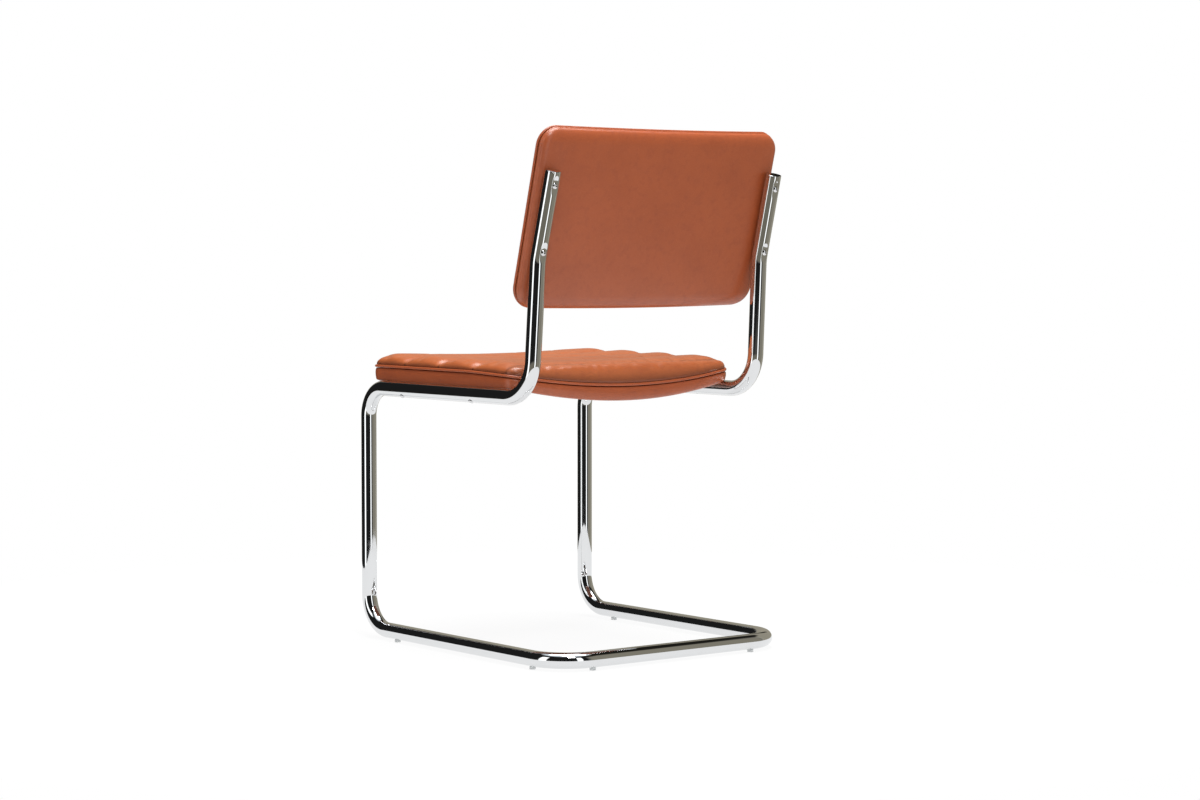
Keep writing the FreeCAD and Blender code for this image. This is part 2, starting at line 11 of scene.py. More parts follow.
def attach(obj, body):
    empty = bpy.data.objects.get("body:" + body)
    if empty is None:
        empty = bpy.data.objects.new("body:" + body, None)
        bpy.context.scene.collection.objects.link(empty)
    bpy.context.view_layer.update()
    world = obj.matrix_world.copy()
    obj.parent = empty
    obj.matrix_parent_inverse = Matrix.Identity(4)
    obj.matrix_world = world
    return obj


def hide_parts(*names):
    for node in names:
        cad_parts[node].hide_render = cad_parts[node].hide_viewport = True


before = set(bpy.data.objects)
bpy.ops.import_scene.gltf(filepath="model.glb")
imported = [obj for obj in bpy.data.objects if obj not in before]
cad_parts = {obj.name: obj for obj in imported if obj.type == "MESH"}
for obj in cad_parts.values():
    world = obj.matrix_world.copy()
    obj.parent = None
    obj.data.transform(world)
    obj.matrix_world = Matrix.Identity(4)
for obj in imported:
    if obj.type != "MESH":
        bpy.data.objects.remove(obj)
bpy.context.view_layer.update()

bl_info = {
    "name": "Cantilever Chair",
    "version": (1, 0, 0),
    "blender": (4, 5, 0),
    "location": "3D View > Sidebar > Chair",
    "description": "Leather, piping and chrome around the frame of a cantilever dining chair",
    "category": "Add Mesh",
}

# Everything is in metres. The chair faces -Y, the sitter's left is +X and +Z is up.
MM = 0.001
BODY = "root"


def length(name, description, millimetres):
    return FloatProperty(
        name=name,
        description=description,
        default=millimetres * MM,
        unit="LENGTH",
        precision=4,
    )


def share(name, description, default):
    return FloatProperty(name=name, description=description, default=default, min=0, subtype="FACTOR")


def colour(name, description, default):
    return FloatVectorProperty(
        name=name,
        description=description,
        default=default,
        min=0,
        max=1,
        size=3,
        subtype="COLOR",
    )


# Sizes and colours that a user would change

class SeatSizes(bpy.types.PropertyGroup):
    half_width: length("Half width", "From the middle to the seam at the side", 220.0)
    front_y: length("Front corners", "Y of the front corners of the seam", -261.5)
    front_bulge: length("Front bulge", "How far the front edge bows out", 4.5)
    rear_y: length("Rear edge", "Y of the rear edge in the middle", 151.0)
    rear_bulge: length("Rear bulge", "How far the rear edge bows out", 16.0)
    front_corner: length("Front corner", "Radius of the front corners", 30.0)
    rear_corner: length("Rear corner", "Radius of the rear corners", 24.0)
    side_z: length("Side seam", "Height of the seam along the sides", 448.0)
    rear_corner_z: length("Rear corner seam", "Height of the seam at the rear corners", 444.2)
    front_dip: length("Front dip", "Fall of the seam from a front corner to the middle", 5.5)
    rear_dip: length("Rear dip", "Fall of the seam from the sides to the rear middle", 22.0)
    crest_z: length("Crest", "Height of the pad along its middle", 461.75)
    crest_rise_front: length("Front rise", "How much higher the crests are at the sides, in front", 7.7)
    crest_rise_rear: length("Rear rise", "How much higher the crests are at the sides, behind", 1.6)
    rim: length("Rim", "Width of the rounded rim from the seam to the crest", 28.7)
    channel_depth: length("Channel depth", "Depth of the sewn channels below the crests", 6.3)
    underside_drop: length("Band height", "From the seam down to the underside, in the middle", 25.5)
    rail_top: length("Rail top", "Height at which the band lies on the rails", 425.3)
    underside_turn: length("Turned edge", "Width of the leather turned under the seat", 14.0)
    piping: length("Piping", "Diameter of the piping", 4.4)


class BackSizes(bpy.types.PropertyGroup):
    half_width: length("Half width", "From the middle to the seam at the side", 232.0)
    below_bend: length("Below the bend", "From the uprights' lean bend down to the lower edge", 82.0)
    above_bend: length("Above the bend", "From the uprights' lean bend up to the upper edge", 199.7)
    corner: length("Corner", "Radius of the upper corners", 29.0)
    lower_corner: length("Lower corner", "Radius of the lower corners", 33.0)
    bow: length("Bow", "How far the middle stands behind the tubes", 9.0)
    seam_depth: length("Seam depth", "From the rear face to the seam", 18.5)
    edge_round: length("Edge rounding", "Width of the rounded edge at the sides of the rear face", 9.0)
    top_round: length("Top rounding", "Width of the rounded edge at the top of the rear face", 21.0)
    total_depth: length("Depth", "From the rear face to the crests in front", 32.0)
    front_rim: length("Front rim", "Width of the rounded edge in front", 20.0)
    channel_depth: length("Channel depth", "Depth of the sewn channels in front", 5.0)
    piping: length("Piping", "Diameter of the piping", 4.4)


class TubeSizes(bpy.types.PropertyGroup):
    half_width: length("Half width", "From the middle to the rails' centre-line", 223.5)
    half_depth: length("Half depth", "From the middle to the floor bar's centre-line", 259.2)
    rail_z: length("Rail height", "Height of the seat rails' centre-line", 412.5)
    floor_z: length("Floor runner height", "Height of the floor runners' centre-line", 16.5)
    foot_y: length("Upright's foot", "Y at which the uprights rise from the rails", 191.4)
    lean_bend_z: length("Lean bend", "Height at which the uprights bend backwards", 622.8)
    above_bend: length("Above the bend", "Height of the uprights above the lean bend", 133.2)
    draw_in: length("Draw in", "How far each upright's end stands inside the rails", 4.5)
    wall: length("Wall", "Thickness of the tube's wall", 2.0)
    lean_bend: length("Lean bend radius", "Radius of the bend behind the backrest", 75.0)
    seat_bend: length("Seat bend radius", "Radius of the bend behind the seat", 63.0)
    front_top_bend: length("Front top bend", "Radius of the upper front bends", 48.0)
    front_bottom_bend: length("Front bottom bend", "Radius of the lower front bends", 55.0)
    floor_bend: length("Floor corner bend", "Radius of the rear floor corners", 65.0)
    upper_screw: length("Upper screws", "Distance of the upper screws above the bend", 118.2)
    lower_screw: length("Lower screws", "Distance of the lower screws above the bend", 14.1)
    dent_length: length("Dent length", "Half the length of the dent round a screw", 16.5)
    dent_width: length("Dent width", "Half the width of the dent round a screw", 11.0)
    dent_floor: length("Dent floor", "Height of the dent's floor above the tube's axis", 11.1)
    dent_flat: share("Dent flat", "Share of the dent that is flat", 0.44)


class ChairColours(bpy.types.PropertyGroup):
    leather: colour("Leather", "Colour of the leather on its plain faces", (0.42, 0.090, 0.026))
    leather_deep: colour("Deep leather", "Colour of the leather in its mottling", (0.27, 0.050, 0.016))
    leather_light: colour("Worn leather", "Colour of the leather on its raised parts", (0.52, 0.15, 0.055))
    # Painted light: a lighter copy of the leather for the seat's top panel, standing in for the stronger
    # light that falls on it from above.
    leather_seat_painted_light: colour("Seat leather", "Colour of the seat's top panel", (0.46, 0.118, 0.034))
    # Painted shade: near-black leather for the seams beside the piping, along the channels and on the
    # pads' hidden walls, where these gaps lie in shade.
    seam_painted_shade: colour("Seam", "Colour inside the seams, beside the piping", (0.035, 0.008, 0.004))
    chrome: colour("Chrome", "Colour of the plated steel", (0.74, 0.75, 0.76))
    floor: colour("Floor", "Colour of the floor", (0.86, 0.86, 0.86))
    wear: share("Wear", "How strongly smudges and fine scratches show", 0.5)


# Values that follow from how the chair is made
SEAM_DROP_START = 25.0 * MM
SEAM_SIDE_BEND = 1260.0 * MM
SEAT_VALLEYS = [-159.0 * MM, -64.0 * MM, 31.0 * MM, 119.0 * MM]
BOW_SHARE = 0.85
LEAN = math.radians(15.3)
LEAN_BEND_Y = 205.0 * MM
LEAN_BEND_Z = 622.8 * MM
TUBE_RADIUS = 12.5 * MM
TUBE_SPAN = 219.0 * MM
TUBE_GAP = 0.3 * MM

# Across, up the lean and out of the backrest's rear face
OUT_FRAME = np.array([
    (1, 0, 0),
    (0, math.sin(LEAN), math.cos(LEAN)),
    (0, math.cos(LEAN), -math.sin(LEAN)),
])
BACK_CHANNELS = 3

# The camera, in the photograph's frame of 1200 by 800
CAMERA_PLACE = (2.7509, 3.6247, 0.6460)
CAMERA_AZIMUTH = math.radians(142.24)
CAMERA_PITCH = math.radians(3.16)
CAMERA_LENS = 84.4
SENSOR = 36.0


# Small helpers for shapes

def unit(vector):
    return vector / np.linalg.norm(vector)


def unit_rows(vectors):
    return vectors / np.linalg.norm(vectors, axis=1)[:, None]


def rounded_loop(points, radii, step):
    """Points along a closed loop of straight runs, with each corner rounded by its radius."""
    count = len(points)
    corners = []
    for index, radius in enumerate(radii):
        corner = points[index]
        back = unit(points[index - 1] - corner)
        ahead = unit(points[(index + 1) % count] - corner)
        half = math.acos(float(np.clip(back @ ahead, -1, 1))) / 2
        inwards = unit(back + ahead)
        centre = corner + inwards * (radius / math.sin(half))
        start = corner + back * (radius / math.tan(half))
        turn = math.pi - 2 * half
        steps = max(3, math.ceil(radius * turn / step))
        towards = unit(start - centre)
        angles = np.linspace(0, turn, steps + 1)
        arc = centre + radius * (np.outer(np.cos(angles), towards) - np.outer(np.sin(angles), back))
        corners.append(arc)
    pieces = []
    for index, arc in enumerate(corners):
        pieces.append(arc)
        following = corners[(index + 1) % count][0]
        run = following - arc[-1]
        steps = max(1, math.ceil(np.linalg.norm(run) / step))
        shares = np.arange(1, steps) / steps
        pieces.append(arc[-1] + np.outer(shares, run))
    return np.vstack(pieces)


def rounded_run(points, radii, step, dense=()):
    """Points along an open run with rounded corners; dense holds (place, reach, step) on it."""
    last = points[0]
    line = [last]

    def straight(start, end):
        run = end - start
        size = np.linalg.norm(run)
        marks = {size}
        for place, reach, fine in dense:
            along = (place - start) @ run / size
            off_line = np.linalg.norm(start + run * along / size - place)
            if off_line < 1 * MM and -reach < along < size + reach:
                low = max(along - reach, 0)
                high = min(along + reach, size)
                count = max(2, math.ceil((high - low) / fine))
                marks.update(np.linspace(low, high, count).tolist())
        for along in sorted(mark for mark in marks if mark > 1e-6):
            line.append(start + run * along / size)

    for index, radius in enumerate(radii, start=1):
        corner = points[index]
        back = unit(points[index - 1] - corner)
        ahead = unit(points[index + 1] - corner)
        half = math.acos(float(np.clip(back @ ahead, -1, 1))) / 2
        start = corner + back * (radius / math.tan(half))
        centre = corner + unit(back + ahead) * (radius / math.sin(half))
        turn = math.pi - 2 * half
        towards = unit(start - centre)
        straight(last, start)
        count = math.ceil(radius * turn / step)
        for angle in np.linspace(0, turn, count + 1)[1:]:
            line.append(centre + radius * (math.cos(angle) * towards - math.sin(angle) * back))
        last = line[-1]
    straight(last, points[-1])
    return np.array(line)


def bow_vertex(sagitta):
    return sagitta / (1 - BOW_SHARE / 2)


def bow_radius(half_length, vertex_offset):
    return BOW_SHARE * half_length * half_length / vertex_offset


def nearest_on(loop, places):
    """For each place, the plan distance to the loop and the index of the loop's nearest point."""
    distances = np.empty(len(places))
    indices = np.empty(len(places), int)
    ahead = np.roll(loop[:, :2], -1, axis=0) - loop[:, :2]
    lengths = np.einsum("ij,ij->i", ahead, ahead)
    for start in range(0, len(places), 2000):
        block = places[start:start + 2000, None, :2] - loop[None, :, :2]
        along = np.clip(np.einsum("ijk,jk->ij", block, ahead) / lengths, 0, 1)
        gaps = np.linalg.norm(block - along[:, :, None] * ahead[None], axis=2)
        best = gaps.argmin(axis=1)
        indices[start:start + 2000] = best
        distances[start:start + 2000] = gaps[np.arange(len(best)), best]
    return distances, indices


def plan_normals(loop):
    """Unit vectors that point out of a loop that runs anticlockwise in its plane."""
    along = np.roll(loop[:, :2], -1, axis=0) - np.roll(loop[:, :2], 1, axis=0)
    return unit_rows(np.column_stack([along[:, 1], -along[:, 0]]))


def dished(middle, side, half_width, x):
    """Height across a dished surface, on the circle through its middle and both sides."""
    rise = side - middle
    curvature = 2 * rise / (half_width ** 2 + rise ** 2)
    return middle + curvature * x * x / (1 + np.sqrt(1 - (curvature * x) ** 2))


def quarter_round(distance, width, fullness=2.0):
    """Rises from 0 at an edge to 1 at the given width; a fullness of 2 is an ellipse."""
    away = 1 - np.clip(distance / width, 0, 1)
    return (1 - away ** fullness) ** (1 / fullness)


def make_object(name, vertices, faces, attributes=None):
    mesh = bpy.data.meshes.new(name)
    mesh.from_pydata([tuple(v) for v in vertices], [], faces)
    for label, values in (attributes or {}).items():
        layer = mesh.attributes.new(label, "FLOAT", "POINT")
        layer.data.foreach_set("value", np.asarray(values, np.float32))
    work = bmesh.new()
    work.from_mesh(mesh)
    bmesh.ops.recalc_face_normals(work, faces=work.faces)
    work.to_mesh(mesh)
    work.free()
    mesh.polygons.foreach_set("use_smooth", [True] * len(mesh.polygons))
    obj = bpy.data.objects.new(name, mesh)
    bpy.context.scene.collection.objects.link(obj)
    return obj


def dress(obj, material, slot, *nodes):
    """Give a piece its finish, its body and the nodes that it stands for."""
    obj.data.materials.clear()
    obj.data.materials.append(material)
    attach(obj, BODY)
    if nodes:
        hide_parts(*nodes)
    return obj


def stitch(last, current):
    """Faces between two rings of as many points each."""
    count = len(last)
    faces = []
    for index in range(count):
        following = (index + 1) % count
        faces.append((last[index], current[index], current[following], last[following]))
    return faces


def ring_faces(rings, count, closed):
    """Faces between stacked rings of count points; closed joins the last ring to the first."""
    faces = []
    for ring in range(rings if closed else rings - 1):
        other = (ring + 1) % rings
        last = range(ring * count, (ring + 1) * count)
        faces += stitch(last, range(other * count, (other + 1) * count))
    return faces


WELT_SIDES = 14


def welt_mesh(name, path, sideways, diameter):
    """Piping along a loop, from the loop's points and their outward directions."""
    along = unit_rows(np.roll(path, -1, axis=0) - np.roll(path, 1, axis=0))
    outwards = unit_rows(sideways - along * np.einsum("ij,ij->i", sideways, along)[:, None])
    upwards = np.cross(along, outwards)
    rings = []
    for side in range(WELT_SIDES):
        angle = 2 * math.pi * side / WELT_SIDES
        rings.append(path + diameter / 2 * (outwards * math.cos(angle) + upwards * math.sin(angle)))
    vertices = np.stack(rings, axis=1).reshape(-1, 3)
    return make_object(name, vertices, ring_faces(len(path), WELT_SIDES, True))


# A pad is a grid of columns across it, each running between its two edges

def column_places(half_width, corner, step, corner_steps):
    turn = np.linspace(0, math.pi / 2, corner_steps + 1)[1:]
    outer = half_width - corner + corner * np.sin(turn)
    inner = half_width - corner
    middle = np.linspace(-inner, inner, 2 * math.ceil(inner / step) + 1)
    return np.concatenate([-outer[::-1], middle, outer])


def edge_shares(nominal, rim, rim_steps, step):
    """Shares of a strip's length, close together near the edge that it starts from."""
    turn = np.linspace(0, math.pi / 2, rim_steps + 1)
    dense = rim * (1 - np.cos(turn))
    rest = np.linspace(rim, nominal, math.ceil((nominal - rim) / step) + 1)[1:]
    return np.concatenate([dense, rest]) / nominal


def edge_heights(loop, x):
    """Where a column at x meets the loop's lower and upper edges."""
    reach = loop[:, 0].max() - 1e-7
    x = min(max(x, -reach), reach)
    start = loop
    end = np.roll(loop, -1, axis=0)
    crossed = (start[:, 0] - x) * (end[:, 0] - x) <= 0
    crossed &= start[:, 0] != end[:, 0]
    part = (x - start[crossed, 0]) / (end[crossed, 0] - start[crossed, 0])
    heights = start[crossed, 1] + part * (end[crossed, 1] - start[crossed, 1])
    return heights.min(), heights.max()


def pad_grid(loop, columns, strips, knots, clear):
    """Plan places of a pad: one row of the result per column."""
    grid = []
    for x in columns:
        low, high = edge_heights(loop, x)
        inner = [min(max(knot, low + clear), high - clear) for knot in knots]
        marks = [low] + inner + [high]
        places = [low]
        for start, end, shares in zip(marks, marks[1:], strips):
            places.extend(start + (end - start) * shares[1:])
        grid.append([(x, y) for y in places])
    return np.array(grid)


def grid_faces(columns, rows):
    faces = []
    for column in range(columns - 1):
        for row in range(rows - 1):
            first = column * rows + row
            faces.append((first, first + rows, first + rows + 1, first + 1))
    return faces


def grid_boundary(columns, rows):
    """Indices round the grid, anticlockwise from its low corner."""
    bottom = [column * rows for column in range(columns)]
    right = [(columns - 1) * rows + row for row in range(1, rows)]
    top = [column * rows + rows - 1 for column in range(columns - 2, -1, -1)]
    left = [row for row in range(rows - 2, 0, -1)]
    return bottom + right + top + left


def closed_pad(grid, heights, walls, close_height):
    """Vertices in plan and height, and faces, of a pad with side walls and a closed back."""
    columns, rows = grid.shape[:2]
    vertices = [np.column_stack([grid.reshape(-1, 2), heights])]
    faces = grid_faces(columns, rows)
    edge = grid_boundary(columns, rows)
    rim = vertices[0][edge]
    normals = plan_normals(rim)
    rings = []
    for inset, drop in walls:
        ring = rim.copy()
        ring[:, :2] -= normals * inset
        ring[:, 2] -= drop
        rings.append(ring)
    centre = np.array([0, rim[:, 1].mean(), close_height])
    for scale in (0.66, 0.5):
        rings.append(centre + (rings[-1] - centre) * scale)
    last = edge
    total = len(vertices[0])
    for ring in rings:
        current = range(total, total + len(edge))
        faces += stitch(last, current)
        total += len(edge)
        last = current
    for index in range(len(edge)):
        faces.append((last[index], total, last[(index + 1) % len(edge)]))
    return np.vstack(vertices + rings + [centre[None, :]]), faces


def channel_drop(places, marks, depth):
    """How far a channelled surface lies below its crests: sharp at the marks, round between."""
    drop = np.zeros(len(places))
    for start, end in zip(marks, marks[1:]):
        inside = (places >= start) & (places <= end)
        middle = (start + end) / 2
        drop[inside] = depth * ((places[inside] - middle) / ((end - start) / 2)) ** 2
    return drop


def line_distance(places, marks):
    """Distance to the nearest of several marks."""
    return np.abs(places[:, None] - np.array(marks)[None, :]).min(axis=1)


def pucker(valley, distance):
    """Where a channel's end pulls the leather in, from the distances to the channel and the edge."""
    return np.exp(-(valley / (7 * MM)) ** 2) * np.exp(-((distance - 9 * MM) / (9 * MM)) ** 2)


def painted_crease_shade_mask(valley, distance, total):
    """Painted shade for the seams: dark along the channels, at the edge and over everything behind it."""
    mask = np.ones(total)
    sewn = 0.55 * np.exp(-valley / (1.8 * MM)) + 0.5 * np.exp(-distance / (0.8 * MM))
    mask[:len(sewn)] = np.clip(sewn, 0, 1)
    return mask


# Cloth that swells a pad between its seams

def swell(obj, held, voxel, pressure, cap):
    """Blow the pad up as cloth on a remeshed copy, and move the pad's own points with it."""
    copy = obj.copy()
    copy.data = obj.data.copy()
    bpy.context.scene.collection.objects.link(copy)
    remesh = copy.modifiers.new("Remesh", "REMESH")
    remesh.mode = "VOXEL"
    remesh.voxel_size = voxel
    graph = bpy.context.evaluated_depsgraph_get()
    solid = bpy.data.meshes.new_from_object(copy.evaluated_get(graph))
    copy.modifiers.clear()
    copy.data = solid
    rest = np.empty(len(solid.vertices) * 3)
    solid.vertices.foreach_get("co", rest)
    rest = rest.reshape(-1, 3)
    pins = copy.vertex_groups.new(name="held")
    pins.add([int(i) for i in np.nonzero(held(rest))[0]], 1, "REPLACE")
    cloth = copy.modifiers.new("Cloth", "CLOTH")
    cloth.settings.vertex_group_mass = "held"
    cloth.settings.quality = 6
    cloth.settings.mass = 0.4
    cloth.settings.tension_stiffness = 12
    cloth.settings.compression_stiffness = 12
    cloth.settings.shear_stiffness = 6
    cloth.settings.bending_stiffness = 0.6
    cloth.settings.use_pressure = True
    cloth.settings.uniform_pressure_force = pressure
    cloth.settings.shrink_min = -0.02
    cloth.settings.effector_weights.gravity = 0
    cloth.collision_settings.use_collision = False
    scene = bpy.context.scene
    for number in range(1, 21):
        scene.frame_set(number)
    graph = bpy.context.evaluated_depsgraph_get()
    blown = bpy.data.meshes.new_from_object(copy.evaluated_get(graph))
    moved = np.empty(len(rest) * 3)
    blown.vertices.foreach_get("co", moved)
    moved = moved.reshape(-1, 3) - rest
    reach = np.linalg.norm(moved, axis=1)
    moved *= (np.minimum(reach, cap) / np.maximum(reach, 1e-9))[:, None]
    scene.frame_set(1)
    bpy.data.objects.remove(copy)
    tree = KDTree(len(rest))
    for index, place in enumerate(rest):
        tree.insert(place, index)
    tree.balance()
    for vertex in obj.data.vertices:
        total = np.zeros(3)
        weights = 0
        for place, index, distance in tree.find_n(vertex.co, 8):
            weight = math.exp(-(distance / voxel) ** 2)
            total += moved[index] * weight
            weights += weight
        if weights > 1e-9:
            vertex.co += Vector(total / weights)
    obj.data.update()


# Frame tube

TUBE_SIDES = 96
TUBE_CHAMFER = 0.3 * MM
TUBE_MOUTH = 13.0 * MM


def tube_points(t):
    """Corners of the tube's centre-line, down the left side and up the right."""
    top = t.lean_bend_z + t.above_bend
    rise = top - t.rail_z
    bend_x = t.half_width - t.draw_in * (t.lean_bend_z - t.rail_z) / rise
    left = [
        (t.half_width - t.draw_in, LEAN_BEND_Y + t.above_bend * math.tan(LEAN), top),
        (bend_x, LEAN_BEND_Y, t.lean_bend_z),
        (t.half_width, t.foot_y, t.rail_z),
        (t.half_width, -t.half_depth, t.rail_z),
        (t.half_width, -t.half_depth, t.floor_z),
        (t.half_width, t.half_depth, t.floor_z),
    ]
    right = [(-x, y, z) for x, y, z in reversed(left)]
    return np.array(left + right)


def screw_places(t, points):
    """Centres of the domed screws on the tube's axis, left and right."""
    lean_bend = points[1]
    axis = unit(points[0] - lean_bend)
    places = []
    for along in (t.upper_screw, t.lower_screw):
        place = lean_bend + axis * (along / (axis @ OUT_FRAME[1]))
        places += [place, place * np.array([-1, 1, 1])]
    return places


def press_dents(t, vertices, centres):
    """Press the long soft dents in which the domed screws sit."""
    for centre in centres:
        away = vertices - centre
        out = away @ OUT_FRAME[2]
        along = away @ OUT_FRAME[1]
        across = away @ OUT_FRAME[0]
        reach = np.hypot(along / t.dent_length, across / t.dent_width)
        near = (out > 0) & (reach < 1)
        blend = np.clip((1 - reach[near]) / (1 - t.dent_flat), 0, 1)
        blend = blend * blend * (3 - 2 * blend)
        drop = (out[near] - t.dent_floor) * blend
        vertices[near] -= np.outer(np.maximum(drop, 0), OUT_FRAME[2])
    return vertices


def tube_shape(t):
    points = tube_points(t)
    screws = screw_places(t, points)
    bends = [t.lean_bend, t.seat_bend, t.front_top_bend, t.front_bottom_bend, t.floor_bend]
    dense = [(place, t.dent_length * 1.25, 0.9 * MM) for place in screws]
    path = rounded_run(points, bends + bends[::-1], 2.2 * MM, dense)
    ahead = unit_rows(np.diff(path, axis=0))
    along = unit_rows(np.vstack([ahead[:1], ahead[:-1] + ahead[1:], ahead[-1:]]))
    side = unit(np.cross(along[0], np.array([1.0, 0, 0])))
    angles = 2 * math.pi * np.arange(TUBE_SIDES) / TUBE_SIDES
    rings = []
    for place, axis in zip(path, along):
        side = unit(side - axis * (side @ axis))
        other = np.cross(axis, side)
        around = np.outer(np.cos(angles), side) + np.outer(np.sin(angles), other)
        rings.append(place + TUBE_RADIUS * around)
    outside = press_dents(t, np.vstack(rings), screws).reshape(-1, TUBE_SIDES, 3)
    bore = TUBE_RADIUS - t.wall
    profile = [
        (TUBE_RADIUS, -TUBE_CHAMFER),
        (TUBE_RADIUS - TUBE_CHAMFER, 0),
        (bore + TUBE_CHAMFER, 0),
        (bore, -TUBE_CHAMFER),
        (bore, -TUBE_MOUTH),
        (bore * 0.5, -TUBE_MOUTH),
    ]
    ends = []
    for place, axis, ring in ((path[0], -along[0], rings[0]), (path[-1], along[-1], rings[-1])):
        around = (ring - place) / TUBE_RADIUS
        ends.append([place + around * radius + axis * depth for radius, depth in profile])
    stack = ends[0][::-1] + list(outside[1:-1]) + ends[1]
    faces = ring_faces(len(stack), TUBE_SIDES, False)
    faces.append(tuple(range(TUBE_SIDES)))
    faces.append(tuple(range((len(stack) - 1) * TUBE_SIDES, len(stack) * TUBE_SIDES)))
    return np.vstack(stack), faces


# Seat

def seat_share(s, y):
    return (y - s.front_y) / (s.rear_y - s.front_y)


def seam_heights(s, y):
    """Height of the seam's surface in the middle and at the side."""
    fall = (s.side_z - s.rear_corner_z) / (s.rear_y - s.rear_bulge - SEAM_DROP_START)
    side = s.side_z - fall * np.maximum(0, y - SEAM_DROP_START)
    middle = s.side_z - s.front_dip + (s.front_dip - s.rear_dip) * seat_share(s, y) ** 2
    return middle, side


def seat_underside(s, x, y):
    middle = seam_heights(s, y)[0]
    return dished(middle - s.underside_drop, s.rail_top, s.half_width, x)


def seat_crest(s, x, y):
    side = s.crest_z + s.crest_rise_front + (s.crest_rise_rear - s.crest_rise_front) * seat_share(s, y)
    return dished(s.crest_z, side, s.half_width, x)


def seat_seam(s, step):
    """The seam round the seat, in space, anticlockwise from above from the left front corner."""
    rear_corner_y = s.rear_y - s.rear_bulge
    rear_dip = s.rear_corner_z - s.side_z + s.rear_dip
    left = [
        (s.half_width, s.front_y, s.side_z),
        (s.half_width, SEAM_DROP_START, s.side_z),
        (s.half_width, rear_corner_y, s.rear_corner_z),
    ]
    right = [(-x, y, z) for x, y, z in reversed(left)]
    rear = (0, rear_corner_y + bow_vertex(s.rear_bulge), s.rear_corner_z - bow_vertex(rear_dip))
    front = (0, s.front_y - bow_vertex(s.front_bulge), s.side_z - bow_vertex(s.front_dip))
    points = np.array(left + [rear] + right + [front])
    corners = [s.front_corner, SEAM_SIDE_BEND, s.rear_corner]
    rear_radius = bow_radius(s.half_width, bow_vertex(math.hypot(s.rear_bulge, rear_dip)))
    front_radius = bow_radius(s.half_width, bow_vertex(math.hypot(s.front_bulge, s.front_dip)))
    radii = corners + [rear_radius] + corners[::-1] + [front_radius]
    return rounded_loop(points, radii, step)


SEAT_STEP = 3.2 * MM
SEAT_FULLNESS = 2.35
SEAT_PUCKER = 3.0 * MM
CALM_START = 45.0 * MM
CALM_REACH = 65.0 * MM
SEAM_OPENING = 0.55 * MM
PAD_INSET = 0.7 * MM
PAD_WALLS = [(0.5 * MM, 0.5 * MM), (1.5 * MM, 1.1 * MM), (4 * MM, 1.3 * MM)]
CORNER_SOFTNESS = 4.5 * MM
CORNER_REACH = 42.0 * MM


def inset_loop(loop, inset):
    """A loop drawn in by the inset, in plan."""
    drawn = loop.copy()
    drawn[:, :2] -= plan_normals(loop) * inset
    return drawn


def seat_marks(s):
    return [s.front_y - s.front_bulge] + SEAT_VALLEYS + [s.rear_y + s.rim]


def seat_pad_shape(s):
    """The seat pad's mesh data, with its mask of painted seam shade."""
    seam = seat_seam(s, 2 * MM)
    outline = inset_loop(seam, PAD_INSET)
    columns = column_places(s.half_width - PAD_INSET, s.front_corner, SEAT_STEP, 14)
    front = edge_shares(s.front_corner * 3.5, s.rim, 12, SEAT_STEP)
    marks = seat_marks(s)
    strips = [front]
    for start, end in zip(SEAT_VALLEYS, SEAT_VALLEYS[1:]):
        strips.append(np.linspace(0, 1, 2 * math.ceil((end - start) / SEAT_STEP / 2) + 1))
    rear = edge_shares(s.rim * 1.12, s.rim, 14, SEAT_STEP)
    strips.append((1 - rear)[::-1])
    grid = pad_grid(outline, columns, strips, SEAT_VALLEYS, 1.5 * MM)
    places = grid.reshape(-1, 2)
    distance, index = nearest_on(outline, places)
    base = seam[index, 2] + s.piping / 2 + SEAM_OPENING
    crest = seat_crest(s, places[:, 0], places[:, 1])
    calm = np.clip((places[:, 1] - CALM_START) / CALM_REACH, 0, 1)
    drop = channel_drop(places[:, 1], marks, s.channel_depth) * (1 - 0.40 * calm)
    valley = line_distance(places[:, 1], SEAT_VALLEYS)
    pull = SEAT_PUCKER * pucker(valley, distance) * (1 - 0.80 * calm)
    corner = np.hypot(np.abs(places[:, 0]) - s.half_width, places[:, 1] - s.front_y)
    soft = CORNER_SOFTNESS * np.exp(-(corner / CORNER_REACH) ** 2)
    top = crest - drop - pull - soft
    heights = base + (top - base) * quarter_round(distance, s.rim, SEAT_FULLNESS)
    vertices, faces = closed_pad(grid, heights, PAD_WALLS, s.side_z - s.front_dip)
    return vertices, faces, painted_crease_shade_mask(valley, distance, len(vertices))


def seat_held(s):
    seam = seat_seam(s, 4 * MM)

    def held(places):
        distance = nearest_on(seam, places)[0]
        crest = seat_crest(s, places[:, 0], places[:, 1])
        below = places[:, 2] < crest - 14 * MM
        return (distance < 6 * MM) | (line_distance(places[:, 1], SEAT_VALLEYS) < 4.5 * MM) | below

    return held


BAND_BULGE = 1.4 * MM
BAND_LEATHER = 1.6 * MM


def band_rings(height, roundness, sag):
    """Insets and falls of the band's rings, with its rounding and its sag inside the rails."""
    upright = height - roundness
    rings = [
        (3.4 * MM, 1.3 * MM),
        (1.6 * MM, 0.7 * MM),
        (0.5 * MM, 0.2 * MM),
        (0.05 * MM, 1.2 * MM),
    ]
    for part in (0.18, 0.38, 0.6, 0.8, 1.0):
        rings.append((-BAND_BULGE * math.sin(math.pi * (0.12 + 0.80 * part)), upright * part))
    edge = rings[-1][0]
    for turn in (18, 36, 54, 72, 90):
        angle = math.radians(turn)
        inset = edge + roundness * (1 - math.cos(angle))
        rings.append((inset, upright + roundness * math.sin(angle)))
    rings.append((rings[-1][0] + 3.0 * MM, height + sag))
    rings.append((9.5 * MM, height + sag))
    rings.append((14 * MM, height - 0.1 * MM))
    return rings


